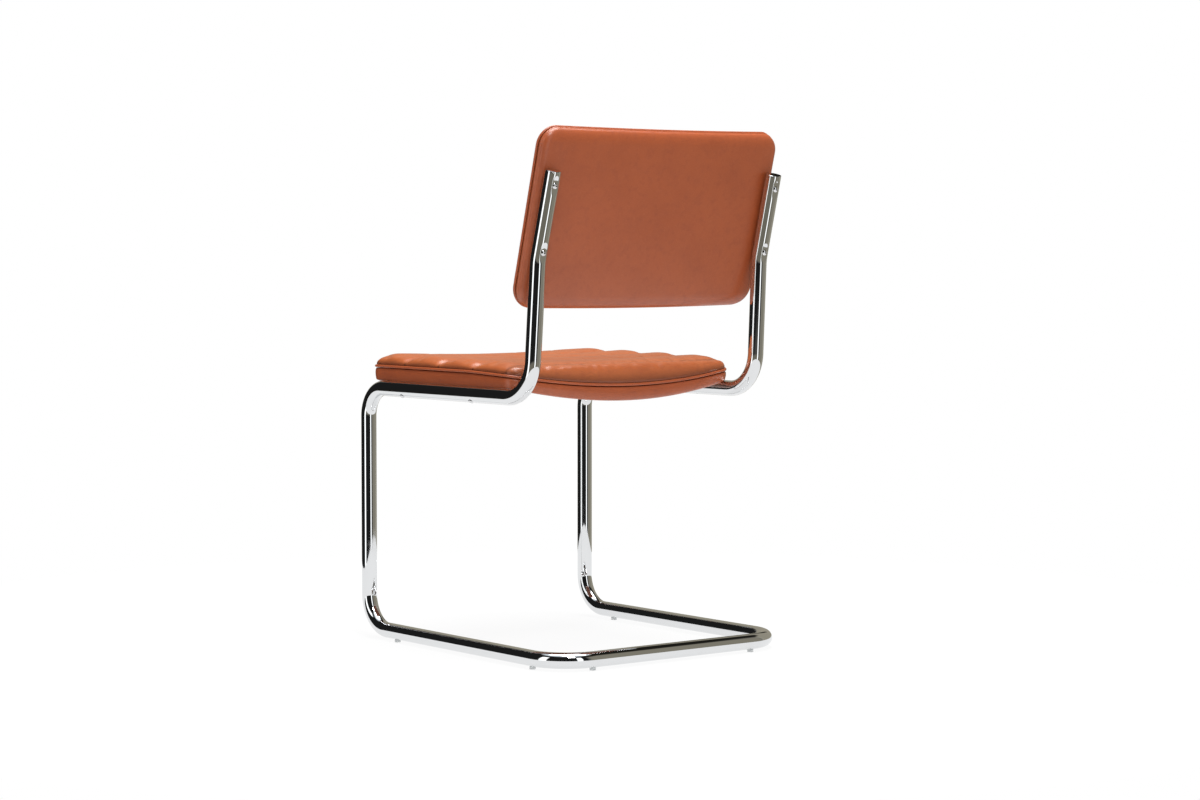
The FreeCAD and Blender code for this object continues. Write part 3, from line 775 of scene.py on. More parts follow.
def seat_band_shape(s):
    loop = seat_seam(s, 3 * MM)
    normals = plan_normals(loop)
    top = loop[:, 2] - s.piping / 2 - SEAM_OPENING
    bottom = seat_underside(s, loop[:, 0], loop[:, 1])
    free = np.clip((np.abs(normals[:, 1]) - 0.15) / 0.75, 0, 1)
    roundness = np.where(normals[:, 1] > 0, 7.5 * MM, 5.0 * MM) * free + 1.2 * MM * (1 - free)
    height = top - bottom + 0.5 * MM * (1 - free)
    sag = 1.3 * MM * (1 - free)
    profiles = [band_rings(*sizes) for sizes in zip(height, roundness, sag)]
    count = len(loop)
    outer = []
    inner = []
    for number in range(len(profiles[0])):
        inset = np.array([profile[number][0] for profile in profiles])
        fall = np.array([profile[number][1] for profile in profiles])
        ring = loop.copy()
        ring[:, :2] -= normals * inset[:, None]
        ring[:, 2] = top - fall
        outer.append(ring)
        lining = loop.copy()
        lining[:, :2] -= normals * (np.maximum(inset, 1.8 * MM) + BAND_LEATHER)[:, None]
        lining[:, 2] = np.clip(ring[:, 2], bottom + BAND_LEATHER, top - 1.5 * MM)
        inner.append(lining)
    rings = outer + inner[::-1]
    # Painted shade: the band's two rings under the piping take the dark seam colour, and the third ring
    # takes most of it.
    painted_crease_shade = np.zeros(len(rings) * count)
    painted_crease_shade[:count * 2] = 1
    painted_crease_shade[count * 2:count * 3] = 0.7
    return np.vstack(rings), ring_faces(len(rings), count, True), painted_crease_shade


CLOTH_THICKNESS = 0.7 * MM


def underside_cloth_shape(s):
    """A thin cloth across the underside, inside the turned edge."""
    loop = inset_loop(seat_seam(s, 2 * MM), s.underside_turn + 0.2 * MM)
    columns = column_places(loop[:, 0].max(), s.front_corner / 2, 8 * MM, 5)
    strip = np.linspace(0, 1, 49)
    grid = pad_grid(loop, columns, [strip], [], 1 * MM)
    places = grid.reshape(-1, 2)
    distance = nearest_on(loop, places)[0]
    heights = seat_underside(s, places[:, 0], places[:, 1]) + 1.1 * MM
    sag = 1.2 * MM * (1 - np.exp(-distance / (60 * MM)))
    ripple = 0.25 * MM * np.sin(places[:, 0] * 70 + 2 * np.sin(places[:, 1] * 31))
    heights = heights - sag + ripple * (1 - np.exp(-distance / (25 * MM)))
    ahead = np.roll(loop, -1, axis=0)
    flat = float(abs(np.sum(loop[:, 0] * ahead[:, 1] - ahead[:, 0] * loop[:, 1])) / 2)
    top = np.column_stack([places, heights + CLOTH_THICKNESS])
    bottom = np.column_stack([places, heights])
    count = len(places)
    above = grid_faces(*grid.shape[:2])
    below = [tuple(index + count for index in face) for face in above]
    edge = grid_boundary(*grid.shape[:2])
    sides = stitch(edge, [index + count for index in edge])
    return np.vstack([top, bottom]), above + below + sides, loop, flat


# Backrest, drawn in its own plane: X across, V up the lean and W out of the rear face

BACK_ORIGIN = (LEAN_BEND_Y - TUBE_RADIUS * math.cos(LEAN), LEAN_BEND_Z + TUBE_RADIUS * math.sin(LEAN))


def back_place(points):
    """Lean points of the backrest's own plane onto the uprights."""
    x, up, out = points.T
    y = BACK_ORIGIN[0] + up * math.sin(LEAN) + out * math.cos(LEAN)
    z = BACK_ORIGIN[1] + up * math.cos(LEAN) - out * math.sin(LEAN)
    return np.column_stack([x, y, z])


def back_flat(points):
    """The reverse of back_place."""
    y = points[:, 1] - BACK_ORIGIN[0]
    z = points[:, 2] - BACK_ORIGIN[1]
    up = y * math.sin(LEAN) + z * math.cos(LEAN)
    out = y * math.cos(LEAN) - z * math.sin(LEAN)
    return np.column_stack([points[:, 0], up, out])


def back_bow(b, x):
    """Where the rear face stands behind the tubes."""
    radius = (TUBE_SPAN ** 2 + b.bow ** 2) / (2 * b.bow)
    return b.bow - TUBE_GAP - x * x / (2 * radius)


def back_outline(b, inset, step):
    side = b.half_width - inset
    low = -b.below_bend + inset
    high = b.above_bend - inset
    corners = np.array([(side, low, 0), (side, high, 0), (-side, high, 0), (-side, low, 0)])
    lower = b.lower_corner - inset
    upper = b.corner - inset
    return rounded_loop(corners, [lower, upper, upper, lower], step)


BACK_STEP = 4.0 * MM
BACK_PUCKER = 2.0 * MM
BACK_CROWN = 2.4 * MM
BACK_CROWN_REACH = 24.0 * MM
BACK_SEAM_OPENING = 1.5 * MM
BACK_WALL = [
    (-0.6 * MM, 0.16),
    (-1.1 * MM, 0.36),
    (-1.2 * MM, 0.56),
    (-0.9 * MM, 0.76),
    (-0.2 * MM, 0.92),
    (0.7 * MM, 1.0),
    (2.2 * MM, 1.03),
    (5.0 * MM, 1.05),
]


def back_rear_shape(b):
    loop = back_outline(b, 0, 2 * MM)
    columns = column_places(b.half_width, b.lower_corner, BACK_STEP, 16)
    tall = b.below_bend + b.above_bend
    half = edge_shares(tall / 2, b.top_round, 12, BACK_STEP) / 2
    strip = np.concatenate([half, (1 - half)[::-1][1:]])
    grid = pad_grid(loop, columns, [strip], [], 1 * MM)
    places = grid.reshape(-1, 2)
    distance = nearest_on(loop, places)[0]
    ends = np.minimum(b.above_bend - places[:, 1], places[:, 1] + b.below_bend)
    upright = np.clip((46 * MM - ends) / (26 * MM), 0, 1)
    across = np.clip((b.half_width - np.abs(places[:, 0])) / (32 * MM), 0, 1)
    softness = upright * across * across * (3 - 2 * across)
    width = b.edge_round + (b.top_round - b.edge_round) * softness
    depth = 6.5 * MM + 3.6 * MM * softness
    edge_drop = depth * (1 - quarter_round(distance, width))
    crown = BACK_CROWN * np.exp(-distance / BACK_CROWN_REACH)
    heights = back_bow(b, places[:, 0]) - edge_drop - crown
    edge = grid_boundary(*grid.shape[:2])
    wall = back_bow(b, places[edge, 0]) - (b.seam_depth - b.piping / 2 - BACK_SEAM_OPENING)
    walls = [(inset, (heights[edge] - wall) * part) for inset, part in BACK_WALL]
    vertices, faces = closed_pad(grid, heights, walls, b.bow - b.seam_depth + b.piping)
    # Painted shade: the walls behind the piping and the closed back take the dark seam colour, and the
    # ring before them takes part of it.
    painted_crease_shade = np.zeros(len(vertices))
    sewn = len(places) + (len(BACK_WALL) - 2) * len(edge)
    painted_crease_shade[sewn:] = 1
    painted_crease_shade[sewn - len(edge):sewn] = 0.6
    return back_place(vertices), faces, painted_crease_shade


def back_valleys(b):
    tall = b.below_bend + b.above_bend
    return [-b.below_bend + tall * index / BACK_CHANNELS for index in range(1, BACK_CHANNELS)]


def back_front_shape(b):
    inset = 0.7 * MM
    loop = back_outline(b, inset, 2 * MM)
    columns = column_places(b.half_width - inset, b.lower_corner - inset, SEAT_STEP, 14)
    valleys = back_valleys(b)
    end = edge_shares(valleys[0] + b.below_bend, b.front_rim, 12, SEAT_STEP)
    steps = 2 * math.ceil((valleys[1] - valleys[0]) / SEAT_STEP / 2) + 1
    strips = [end, np.linspace(0, 1, steps), (1 - end)[::-1]]
    grid = pad_grid(loop, columns, strips, valleys, 1.5 * MM)
    places = grid.reshape(-1, 2)
    distance = nearest_on(loop, places)[0]
    start = b.seam_depth + b.piping / 2 + SEAM_OPENING
    marks = [-b.below_bend] + valleys + [b.above_bend]
    drop = channel_drop(places[:, 1], marks, b.channel_depth)
    valley = line_distance(places[:, 1], valleys)
    rise = b.total_depth - start - drop - BACK_PUCKER * pucker(valley, distance)
    depth = start + rise * quarter_round(distance, b.front_rim)
    heights = depth - back_bow(b, places[:, 0])
    vertices, faces = closed_pad(grid, heights, PAD_WALLS, start - b.bow)
    vertices[:, 2] *= -1
    return back_place(vertices), faces, painted_crease_shade_mask(valley, distance, len(vertices))


def back_held(b):
    loop = back_outline(b, 0, 4 * MM)
    valleys = back_valleys(b)

    def held(points):
        places = back_flat(points)
        distance = nearest_on(loop, places)[0]
        depth = back_bow(b, places[:, 0]) - places[:, 2]
        sewn = line_distance(places[:, 1], valleys) < 4.5 * MM
        return (distance < 6 * MM) | sewn | (depth < b.total_depth - 8 * MM)

    return held


# Shader node groups and materials

def new_group(name, inputs):
    """A group with its inputs, that puts out a colour, a roughness and a height."""
    group = bpy.data.node_groups.new(name, "ShaderNodeTree")
    for label, default in inputs.items():
        kind = "NodeSocketFloat" if isinstance(default, float) else "NodeSocketColor"
        group.interface.new_socket(label, in_out="INPUT", socket_type=kind).default_value = default
    outputs = {"Color": "NodeSocketColor", "Roughness": "NodeSocketFloat", "Height": "NodeSocketFloat"}
    for label, kind in outputs.items():
        group.interface.new_socket(label, in_out="OUTPUT", socket_type=kind)
    return group, group.nodes.new("NodeGroupInput"), group.nodes.new("NodeGroupOutput")


def finish_group(group, end, tint, roughness, height):
    for socket, source in zip(end.inputs, (tint, roughness, height)):
        group.links.new(source, socket)


def add_node(tree, kind, links=None, **values):
    """A node with its settings; links maps a socket's name or index to what feeds it."""
    node = tree.nodes.new(kind)
    for key, value in values.items():
        setattr(node, key, value)
    for socket, source in (links or {}).items():
        if isinstance(source, bpy.types.NodeSocket):
            tree.links.new(source, node.inputs[socket])
        else:
            node.inputs[socket].default_value = source
    return node


def noise(tree, coordinates, scale, detail, roughness=0.5):
    links = {"Vector": coordinates, "Scale": scale, "Detail": detail, "Roughness": roughness}
    return add_node(tree, "ShaderNodeTexNoise", links).outputs["Fac"]


def remap(tree, value, low, high, to_low, to_high):
    links = {"Value": value, "From Min": low, "From Max": high, "To Min": to_low, "To Max": to_high}
    return add_node(tree, "ShaderNodeMapRange", links).outputs["Result"]


def maths(tree, operation, first, second):
    return add_node(tree, "ShaderNodeMath", {0: first, 1: second}, operation=operation).outputs[0]


def mix_colour(tree, factor, first, second):
    links = {0: factor, 6: first, 7: second}
    return add_node(tree, "ShaderNodeMix", links, data_type="RGBA").outputs[2]


def leather_grain_group():
    """Mottled leather: large clouds and fine pebbled grain, with painted shade darkening the seams."""
    group, start, end = new_group(
        "leather_grain",
        {
            "Plain": (0.4, 0.1, 0.04, 1),
            "Deep": (0.2, 0.05, 0.02, 1),
            "Light": (0.5, 0.16, 0.07, 1),
            "Seam": (0.04, 0.01, 0.005, 1),
            "Painted Shade": 0.0,
            "Mottle": 0.5,
        },
    )
    place = add_node(group, "ShaderNodeTexCoord").outputs["Object"]
    clouds = noise(group, place, 16.0, 3.0, 0.6)
    blots = noise(group, place, 95.0, 4.0, 0.62)
    specks = noise(group, place, 420.0, 2.0, 0.6)
    cells = add_node(group, "ShaderNodeTexVoronoi", {"Vector": place, "Scale": 750.0}, feature="SMOOTH_F1")
    mottle = start.outputs["Mottle"]
    dark = maths(group, "MULTIPLY", remap(group, clouds, 0.42, 0.70, 0.0, 0.22), mottle)
    fine = maths(group, "MULTIPLY", remap(group, blots, 0.50, 0.72, 0.0, 0.30), mottle)
    pale = maths(group, "MULTIPLY", remap(group, specks, 0.5, 0.75, 0.0, 0.22), mottle)
    first = mix_colour(group, dark, start.outputs["Plain"], start.outputs["Deep"])
    second = mix_colour(group, fine, first, start.outputs["Deep"])
    third = mix_colour(group, pale, second, start.outputs["Light"])
    with_painted_shade = mix_colour(group, start.outputs["Painted Shade"], third, start.outputs["Seam"])
    rough = remap(group, blots, 0.3, 0.7, 0.30, 0.39)
    pebbles = maths(group, "MULTIPLY", cells.outputs["Distance"], 0.55)
    height = maths(group, "ADD", pebbles, maths(group, "MULTIPLY", specks, 0.45))
    finish_group(group, end, with_painted_shade, rough, height)


def fine_wear_group():
    """Handling marks on polished parts: soft smudges and fine hairline scratches."""
    group, start, end = new_group(
        "fine_wear",
        {"Base Roughness": 0.05, "Wear": 0.5, "Plain": (0.7, 0.7, 0.7, 1)},
    )
    place = add_node(group, "ShaderNodeTexCoord").outputs["Object"]
    smudge = noise(group, place, 30.0, 4.0, 0.6)
    stretched = add_node(group, "ShaderNodeMapping", {"Vector": place, "Scale": (900.0, 900.0, 45.0)})
    hair = noise(group, stretched.outputs["Vector"], 1.0, 2.0, 0.5)
    smudges = maths(group, "MULTIPLY", remap(group, smudge, 0.5, 0.75, 0.0, 0.10), start.outputs["Wear"])
    hairs = maths(group, "MULTIPLY", remap(group, hair, 0.62, 0.8, 0.0, 0.06), start.outputs["Wear"])
    rough = maths(group, "ADD", start.outputs["Base Roughness"], maths(group, "ADD", smudges, hairs))
    dulled = maths(group, "MULTIPLY", remap(group, smudge, 0.5, 0.8, 0.0, 0.16), start.outputs["Wear"])
    tint = mix_colour(group, dulled, start.outputs["Plain"], (0.52, 0.53, 0.55, 1))
    finish_group(group, end, tint, rough, hair)


def new_material(name):
    material = bpy.data.materials.new(name)
    material.use_nodes = True
    tree = material.node_tree
    tree.nodes.clear()
    shader = tree.nodes.new("ShaderNodeBsdfPrincipled")
    output = tree.nodes.new("ShaderNodeOutputMaterial")
    tree.links.new(shader.outputs["BSDF"], output.inputs["Surface"])
    return material, tree, shader


def place_group(tree, name, values):
    return add_node(tree, "ShaderNodeGroup", values, node_tree=bpy.data.node_groups[name])


def feed(tree, shader, tint, roughness):
    tree.links.new(tint, shader.inputs["Base Color"])
    tree.links.new(roughness, shader.inputs["Roughness"])


def add_bump(tree, shader, height, strength, distance):
    links = {"Height": height, "Strength": strength, "Distance": distance}
    bump = add_node(tree, "ShaderNodeBump", links)
    tree.links.new(bump.outputs["Normal"], shader.inputs["Normal"])


def opaque(rgb):
    return (rgb[0], rgb[1], rgb[2], 1.0)


def leather_material(name, colours, plain, mottle, with_painted_shade):
    material, tree, shader = new_material(name)
    values = {
        "Plain": opaque(plain),
        "Deep": opaque(colours.leather_deep),
        "Light": opaque(colours.leather_light),
        "Seam": opaque(colours.seam_painted_shade),
        "Mottle": mottle,
    }
    # When asked, the pad's mask mixes the near-black seam colour into the leather: painted shade in the
    # seams and channels.
    if with_painted_shade:
        values["Painted Shade"] = add_node(tree, "ShaderNodeAttribute", attribute_name="painted_crease_shade").outputs["Fac"]
    grain = place_group(tree, "leather_grain", values)
    feed(tree, shader, grain.outputs["Color"], grain.outputs["Roughness"])
    shader.inputs["Specular IOR Level"].default_value = 0.65
    add_bump(tree, shader, grain.outputs["Height"], 0.16, 0.0003)
    return material


def metal_material(name, rgb, roughness, wear):
    material, tree, shader = new_material(name)
    values = {"Base Roughness": roughness, "Wear": wear, "Plain": opaque(rgb)}
    worn = place_group(tree, "fine_wear", values)
    feed(tree, shader, worn.outputs["Color"], worn.outputs["Roughness"])
    shader.inputs["Metallic"].default_value = 1.0
    add_bump(tree, shader, worn.outputs["Height"], 0.02, 0.00002)
    return material


def clear_plastic_material():
    material, tree, shader = new_material("clear_glide_plastic")
    place = add_node(tree, "ShaderNodeTexCoord").outputs["Object"]
    haze = noise(tree, place, 240.0, 3.0)
    tint = mix_colour(tree, haze, (0.80, 0.82, 0.82, 1), (0.66, 0.69, 0.70, 1))
    feed(tree, shader, tint, remap(tree, haze, 0.3, 0.7, 0.12, 0.35))
    shader.inputs["Transmission Weight"].default_value = 0.65
    shader.inputs["IOR"].default_value = 1.49
    return material


def plywood_material():
    material, tree, shader = new_material("moulded_plywood")
    place = add_node(tree, "ShaderNodeTexCoord").outputs["Object"]
    stretched = add_node(tree, "ShaderNodeMapping", {"Vector": place, "Scale": (12.0, 160.0, 160.0)})
    fibre = noise(tree, stretched.outputs["Vector"], 1.0, 5.0, 0.6)
    tint = mix_colour(tree, fibre, (0.52, 0.34, 0.17, 1), (0.30, 0.17, 0.075, 1))
    feed(tree, shader, tint, remap(tree, fibre, 0.3, 0.7, 0.5, 0.7))
    add_bump(tree, shader, fibre, 0.3, 0.0005)
    return material


def dust_cloth_material():
    material, tree, shader = new_material("brown_dust_cloth")
    place = add_node(tree, "ShaderNodeTexCoord").outputs["Object"]
    fibre = noise(tree, place, 1400.0, 4.0, 0.7)
    clouds = noise(tree, place, 60.0, 2.0)
    tint = mix_colour(tree, clouds, (0.13, 0.040, 0.018, 1), (0.17, 0.055, 0.025, 1))
    feed(tree, shader, tint, remap(tree, fibre, 0.3, 0.7, 0.8, 0.95))
    shader.inputs["Sheen Weight"].default_value = 0.3
    add_bump(tree, shader, fibre, 0.4, 0.0003)
    return material


# Studio

FLOOR_NEAR = 1.35
FLOOR_FAR = 30.0
SHELL_RADIUS = 9.0

# Parts of the studio walls: compass angle, half width and soft edge, in degrees
STRIP_LEFT = (-3.2, 8.2, 3.0)
STRIP_RIGHT = (83.5, 5.2, 2.6)
SIDE_WALL = (131.0, 18.0, 12.0)
BACKDROP = (208.0, 50.0, 6.0)
BACKDROP_GAP = (219.5, 7.4, 0.6)
DIM_FLOOR = (62.0, 62.0, 12.0)
STRIP_LEVEL = 1.7
SIDE_WALL_LEVEL = 0.25
BACKDROP_LEVEL = 0.34
DIM_FLOOR_LEVEL = 0.17
DARK_LEVEL = 0.014
PLAIN_TINT = (0.98, 1.0, 1.0, 1)
WARM_TINT = (1.0, 0.93, 0.74, 1)
SKY_TINT = (0.74, 0.81, 0.87, 1)

# Lamps: place, target, size and power
OVERHEAD = ((-0.1, 0.0, 2.7), (0, 0, 0.4), 1.6, 66.0)
KEY = ((0.95, 2.1, 3.2), (0, 0, 0.5), 0.85, 46.0)
WORLD_LEVEL = 0.41
CAMERA_WHITE = 1.0


def disc_mesh(name, radius, height, sides):
    vertices = [(0, 0, height)]
    for side in range(sides):
        angle = 2 * math.pi * side / sides
        vertices.append((radius * math.cos(angle), radius * math.sin(angle), height))
    faces = [(0, side + 1, (side + 1) % sides + 1) for side in range(sides)]
    return make_object(name, vertices, faces)


def seen_rays(tree):
    """1 for rays from the camera and for reflections and views through clear parts."""
    path = tree.nodes.new("ShaderNodeLightPath").outputs
    seen = maths(tree, "MAXIMUM", path["Is Camera Ray"], path["Is Glossy Ray"])
    return maths(tree, "MAXIMUM", seen, path["Is Transmission Ray"])


def mix_shaders(tree, weight, first, second):
    mixed = tree.nodes.new("ShaderNodeMixShader")
    for socket, source in zip(mixed.inputs, (weight, first, second)):
        tree.links.new(source, socket)
    return mixed.outputs["Shader"]


def floor_material(name, colours, white_share, strength):
    """Pale floor: plain paint for the light, white towards the camera, with the shadow kept."""
    material, tree, shader = new_material(name)
    place = add_node(tree, "ShaderNodeTexCoord").outputs["Object"]
    cloud = noise(tree, place, 3.0, 2.0)
    rgb = colours.floor
    darker = (rgb[0] * 0.985, rgb[1] * 0.985, rgb[2] * 0.985, 1)
    tint = mix_colour(tree, cloud, darker, opaque(rgb))
    tree.links.new(tint, shader.inputs["Base Color"])
    shader.inputs["Roughness"].default_value = 0.9
    shader.inputs["Specular IOR Level"].default_value = 0.0
    glow = add_node(tree, "ShaderNodeEmission", {"Color": (1, 1, 1, 1), "Strength": strength})
    weight = maths(tree, "MULTIPLY", seen_rays(tree), white_share)
    surface = mix_shaders(tree, weight, shader.outputs["BSDF"], glow.outputs["Emission"])
    output = next(node for node in tree.nodes if node.type == "OUTPUT_MATERIAL")
    tree.links.new(surface, output.inputs["Surface"])
    return material


def studio_walls_material():
    """Dark studio walls that only reflections see.

    Two upright strip lights, a warm side wall and backdrop with a dark gap, a dim floor and a
    soft cool light above.
    """
    material = bpy.data.materials.new("studio_walls")
    material.use_nodes = True
    tree = material.node_tree
    tree.nodes.clear()
    place = add_node(tree, "ShaderNodeTexCoord").outputs["Object"]
    parts = add_node(tree, "ShaderNodeSeparateXYZ", {0: place}).outputs
    azimuth = maths(tree, "ARCTAN2", parts[1], parts[0])
    rise = maths(tree, "ARCSINE", maths(tree, "DIVIDE", parts[2], SHELL_RADIUS), 0.0)

    def band(centre, half, soft, strength):
        """A soft-edged upright band of light round a compass angle, in degrees."""
        turn = maths(tree, "SUBTRACT", azimuth, math.radians(centre))
        limits = {0: turn, 1: -math.pi, 2: math.pi}
        wrapped = add_node(tree, "ShaderNodeMath", limits, operation="WRAP").outputs[0]
        away = maths(tree, "ABSOLUTE", wrapped, 0.0)
        return remap(tree, away, math.radians(half), math.radians(half + soft), strength, 0.0)

    def elevation(start, end, start_value, end_value):
        """A ramp between two elevations, in degrees."""
        return remap(tree, rise, math.radians(start), math.radians(end), start_value, end_value)

    def span(lowest, highest):
        """1 between two elevations, in degrees."""
        starts = elevation(lowest - 1, lowest, 0.0, 1.0)
        return maths(tree, "MULTIPLY", starts, elevation(highest, highest + 1, 1.0, 0.0))

    strips = maths(tree, "ADD", band(*STRIP_LEFT, STRIP_LEVEL), band(*STRIP_RIGHT, STRIP_LEVEL))
    side_wall = band(*SIDE_WALL, SIDE_WALL_LEVEL)
    backdrop = band(*BACKDROP, BACKDROP_LEVEL)
    gap = maths(tree, "MULTIPLY", band(*BACKDROP_GAP, 1.0), span(17.0, 27.0))
    backdrop = maths(tree, "MULTIPLY", backdrop, maths(tree, "SUBTRACT", 1.0, gap))
    low = elevation(40, 46, 1.0, 0.0)
    floor_share = elevation(-9, -5, 1.0, 0.0)
    dark_floor = maths(tree, "MULTIPLY", band(*DIM_FLOOR, DIM_FLOOR_LEVEL), floor_share)
    walls = maths(tree, "ADD", strips, maths(tree, "ADD", side_wall, backdrop))
    walls = maths(tree, "MULTIPLY", maths(tree, "MAXIMUM", walls, dark_floor), low)
    above = elevation(58, 64, 0.0, 1.0)
    total = maths(tree, "ADD", maths(tree, "MAXIMUM", walls, above), DARK_LEVEL)
    draped = maths(tree, "MAXIMUM", band(*SIDE_WALL, 1.0), band(*BACKDROP, 1.0))
    unlit = maths(tree, "MULTIPLY_ADD", strips, -1 / STRIP_LEVEL)
    unlit.node.inputs[2].default_value = 1.0
    draped = maths(tree, "MAXIMUM", draped, maths(tree, "MULTIPLY", floor_share, unlit))
    warm = mix_colour(tree, draped, PLAIN_TINT, WARM_TINT)
    tint = mix_colour(tree, above, warm, SKY_TINT)
    glow = add_node(tree, "ShaderNodeEmission", {"Color": tint, "Strength": total})
    output = tree.nodes.new("ShaderNodeOutputMaterial")
    tree.links.new(glow.outputs["Emission"], output.inputs["Surface"])
    return material


def set_world():
    world = bpy.data.worlds.new("studio_world")
    bpy.context.scene.world = world
    world.use_nodes = True
    tree = world.node_tree
    tree.nodes.clear()
    levels = []
    for level in (WORLD_LEVEL, CAMERA_WHITE):
        links = {"Color": (1, 1, 1, 1), "Strength": level}
        levels.append(add_node(tree, "ShaderNodeBackground", links).outputs["Background"])
    output = tree.nodes.new("ShaderNodeOutputWorld")
    tree.links.new(mix_shaders(tree, seen_rays(tree), *levels), output.inputs["Surface"])


def area_light(name, place, target, size, power):
    lamp = bpy.data.lights.new(name, "AREA")
    lamp.shape = "SQUARE"
    lamp.size = size
    lamp.energy = power
    obj = bpy.data.objects.new(name, lamp)
    obj.location = place
    obj.rotation_euler = (Vector(target) - Vector(place)).to_track_quat("-Z", "Y").to_euler()
    obj.visible_camera = False
    bpy.context.scene.collection.objects.link(obj)
    return obj


def add_camera():
    data = bpy.data.cameras.new("photo_camera")
    data.sensor_width = SENSOR
    data.lens = CAMERA_LENS
    data.clip_end = 100
    obj = bpy.data.objects.new("photo_camera", data)
    obj.location = CAMERA_PLACE
    level = math.cos(CAMERA_PITCH)
    direction = Vector((
        -math.sin(CAMERA_AZIMUTH) * level,
        math.cos(CAMERA_AZIMUTH) * level,
        -math.sin(CAMERA_PITCH),
    ))
    obj.rotation_euler = direction.to_track_quat("-Z", "Y").to_euler()
    bpy.context.scene.collection.objects.link(obj)
    bpy.context.scene.camera = obj


# Operators, one for each piece or group of like pieces

class CHAIR_OT_finishes(bpy.types.Operator):
    """Make the shared effects and the materials"""
    bl_idname = "chair.finishes"
    bl_label = "Finishes"

    def execute(self, context):
        colours = context.scene.chair_colours
        leather_grain_group()
        fine_wear_group()
        leather_material("saddle_leather", colours, colours.leather, 1.0, True)
        # The seat's top panel gets the lighter copy of the leather: painted light from above.
        leather_material("seat_leather_painted_light", colours, colours.leather_seat_painted_light, 0.8, True)
        leather_material("piping_leather", colours, colours.leather, 0.7, False)
        metal_material("polished_chrome", colours.chrome, 0.025, colours.wear)
        metal_material("bright_screw_steel", (0.70, 0.70, 0.71), 0.10, colours.wear)
        metal_material("zinc_insert", (0.58, 0.59, 0.60), 0.32, 1.0)
        clear_plastic_material()
        plywood_material()
        dust_cloth_material()
        return {"FINISHED"}


def finish_nodes(names, material):
    for name in names:
        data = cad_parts[name].data
        data.materials.clear()
        data.materials.append(material)


def nodes_starting(*starts):
    return [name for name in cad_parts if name.startswith(starts)]


class CHAIR_OT_frame(bpy.types.Operator):
    """Finish the tube, caps, screws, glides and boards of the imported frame"""
    bl_idname = "chair.frame"
    bl_label = "Frame and hardware"

    def execute(self, context):
        materials = bpy.data.materials
        finish_nodes(nodes_starting("frame_tube", "upright_cap"), materials["polished_chrome"])
        vertices, faces = tube_shape(context.scene.chair_tube)
        tube = make_object("chrome_tube", vertices, faces)
        dress(tube, materials["polished_chrome"], "chrome", "frame_tube")
        finish_nodes(nodes_starting("back_screw", "seat_screw"), materials["bright_screw_steel"])
        finish_nodes(nodes_starting("back_insert"), materials["zinc_insert"])
        finish_nodes(nodes_starting("glide"), materials["clear_glide_plastic"])
        finish_nodes(["seat_board", "back_board"], materials["moulded_plywood"])
        return {"FINISHED"}


class CHAIR_OT_seat_pad(bpy.types.Operator):
    """Build the crowned seat pad with its sewn channels"""
    bl_idname = "chair.seat_pad"
    bl_label = "Seat pad"

    def execute(self, context):
        sizes = context.scene.chair_seat
        vertices, faces, painted_crease_shade = seat_pad_shape(sizes)
        pad = make_object("seat_pad", vertices, faces, {"painted_crease_shade": painted_crease_shade})
        swell(pad, seat_held(sizes), 5.5 * MM, 4.0, 2.2 * MM)
        dress(pad, bpy.data.materials["seat_leather_painted_light"], "leather", "seat_top_cover", "seat_foam")
        return {"FINISHED"}


class CHAIR_OT_seat_band(bpy.types.Operator):
    """Build the leather band round the seat, turned under it"""
    bl_idname = "chair.seat_band"
    bl_label = "Seat band"

    def execute(self, context):
        vertices, faces, painted_crease_shade = seat_band_shape(context.scene.chair_seat)
        band = make_object("seat_band", vertices, faces, {"painted_crease_shade": painted_crease_shade})
        dress(band, bpy.data.materials["saddle_leather"], "leather", "seat_border")
        return {"FINISHED"}


class CHAIR_OT_seat_piping(bpy.types.Operator):
    """Build the piping round the seat"""
    bl_idname = "chair.seat_piping"
    bl_label = "Seat piping"

    def execute(self, context):
        sizes = context.scene.chair_seat
        loop = seat_seam(sizes, 2.5 * MM)
        outwards = np.column_stack([plan_normals(loop), np.zeros(len(loop))])
        welt = welt_mesh("seat_welt", loop, outwards, sizes.piping)
        dress(welt, bpy.data.materials["piping_leather"], "piping", "seat_piping")
        return {"FINISHED"}


class CHAIR_OT_underside(bpy.types.Operator):
    """Stretch the thin cloth across the underside of the seat"""
    bl_idname = "chair.underside"
    bl_label = "Underside cloth"

    def execute(self, context):
        vertices, faces, loop, flat = underside_cloth_shape(context.scene.chair_seat)
        cloth = make_object("seat_dust_cloth", vertices, faces)
        dress(cloth, bpy.data.materials["brown_dust_cloth"], "cloth", "seat_underside_cloth")
        return {"FINISHED"}


class CHAIR_OT_back_rear(bpy.types.Operator):
    """Build the smooth leather over the rear and edges of the backrest"""
    bl_idname = "chair.back_rear"
    bl_label = "Backrest rear"

    def execute(self, context):
        vertices, faces, painted_crease_shade = back_rear_shape(context.scene.chair_back)
        shell = make_object("back_rear_pad", vertices, faces, {"painted_crease_shade": painted_crease_shade})
        dress(shell, bpy.data.materials["saddle_leather"], "leather", "back_rear_cover", "back_wadding")
        return {"FINISHED"}


class CHAIR_OT_back_piping(bpy.types.Operator):
    """Build the piping round the backrest"""
    bl_idname = "chair.back_piping"
    bl_label = "Backrest piping"

    def execute(self, context):
        sizes = context.scene.chair_back
        loop = back_outline(sizes, 0, 2.5 * MM)
        normals = plan_normals(loop)
        outwards = back_place(np.column_stack([normals, np.zeros(len(loop))]))
        outwards = outwards - back_place(np.zeros((1, 3)))
        loop[:, 2] = back_bow(sizes, loop[:, 0]) - sizes.seam_depth
        welt = welt_mesh("back_welt", back_place(loop), outwards, sizes.piping)
        dress(welt, bpy.data.materials["piping_leather"], "piping", "back_piping")
        return {"FINISHED"}


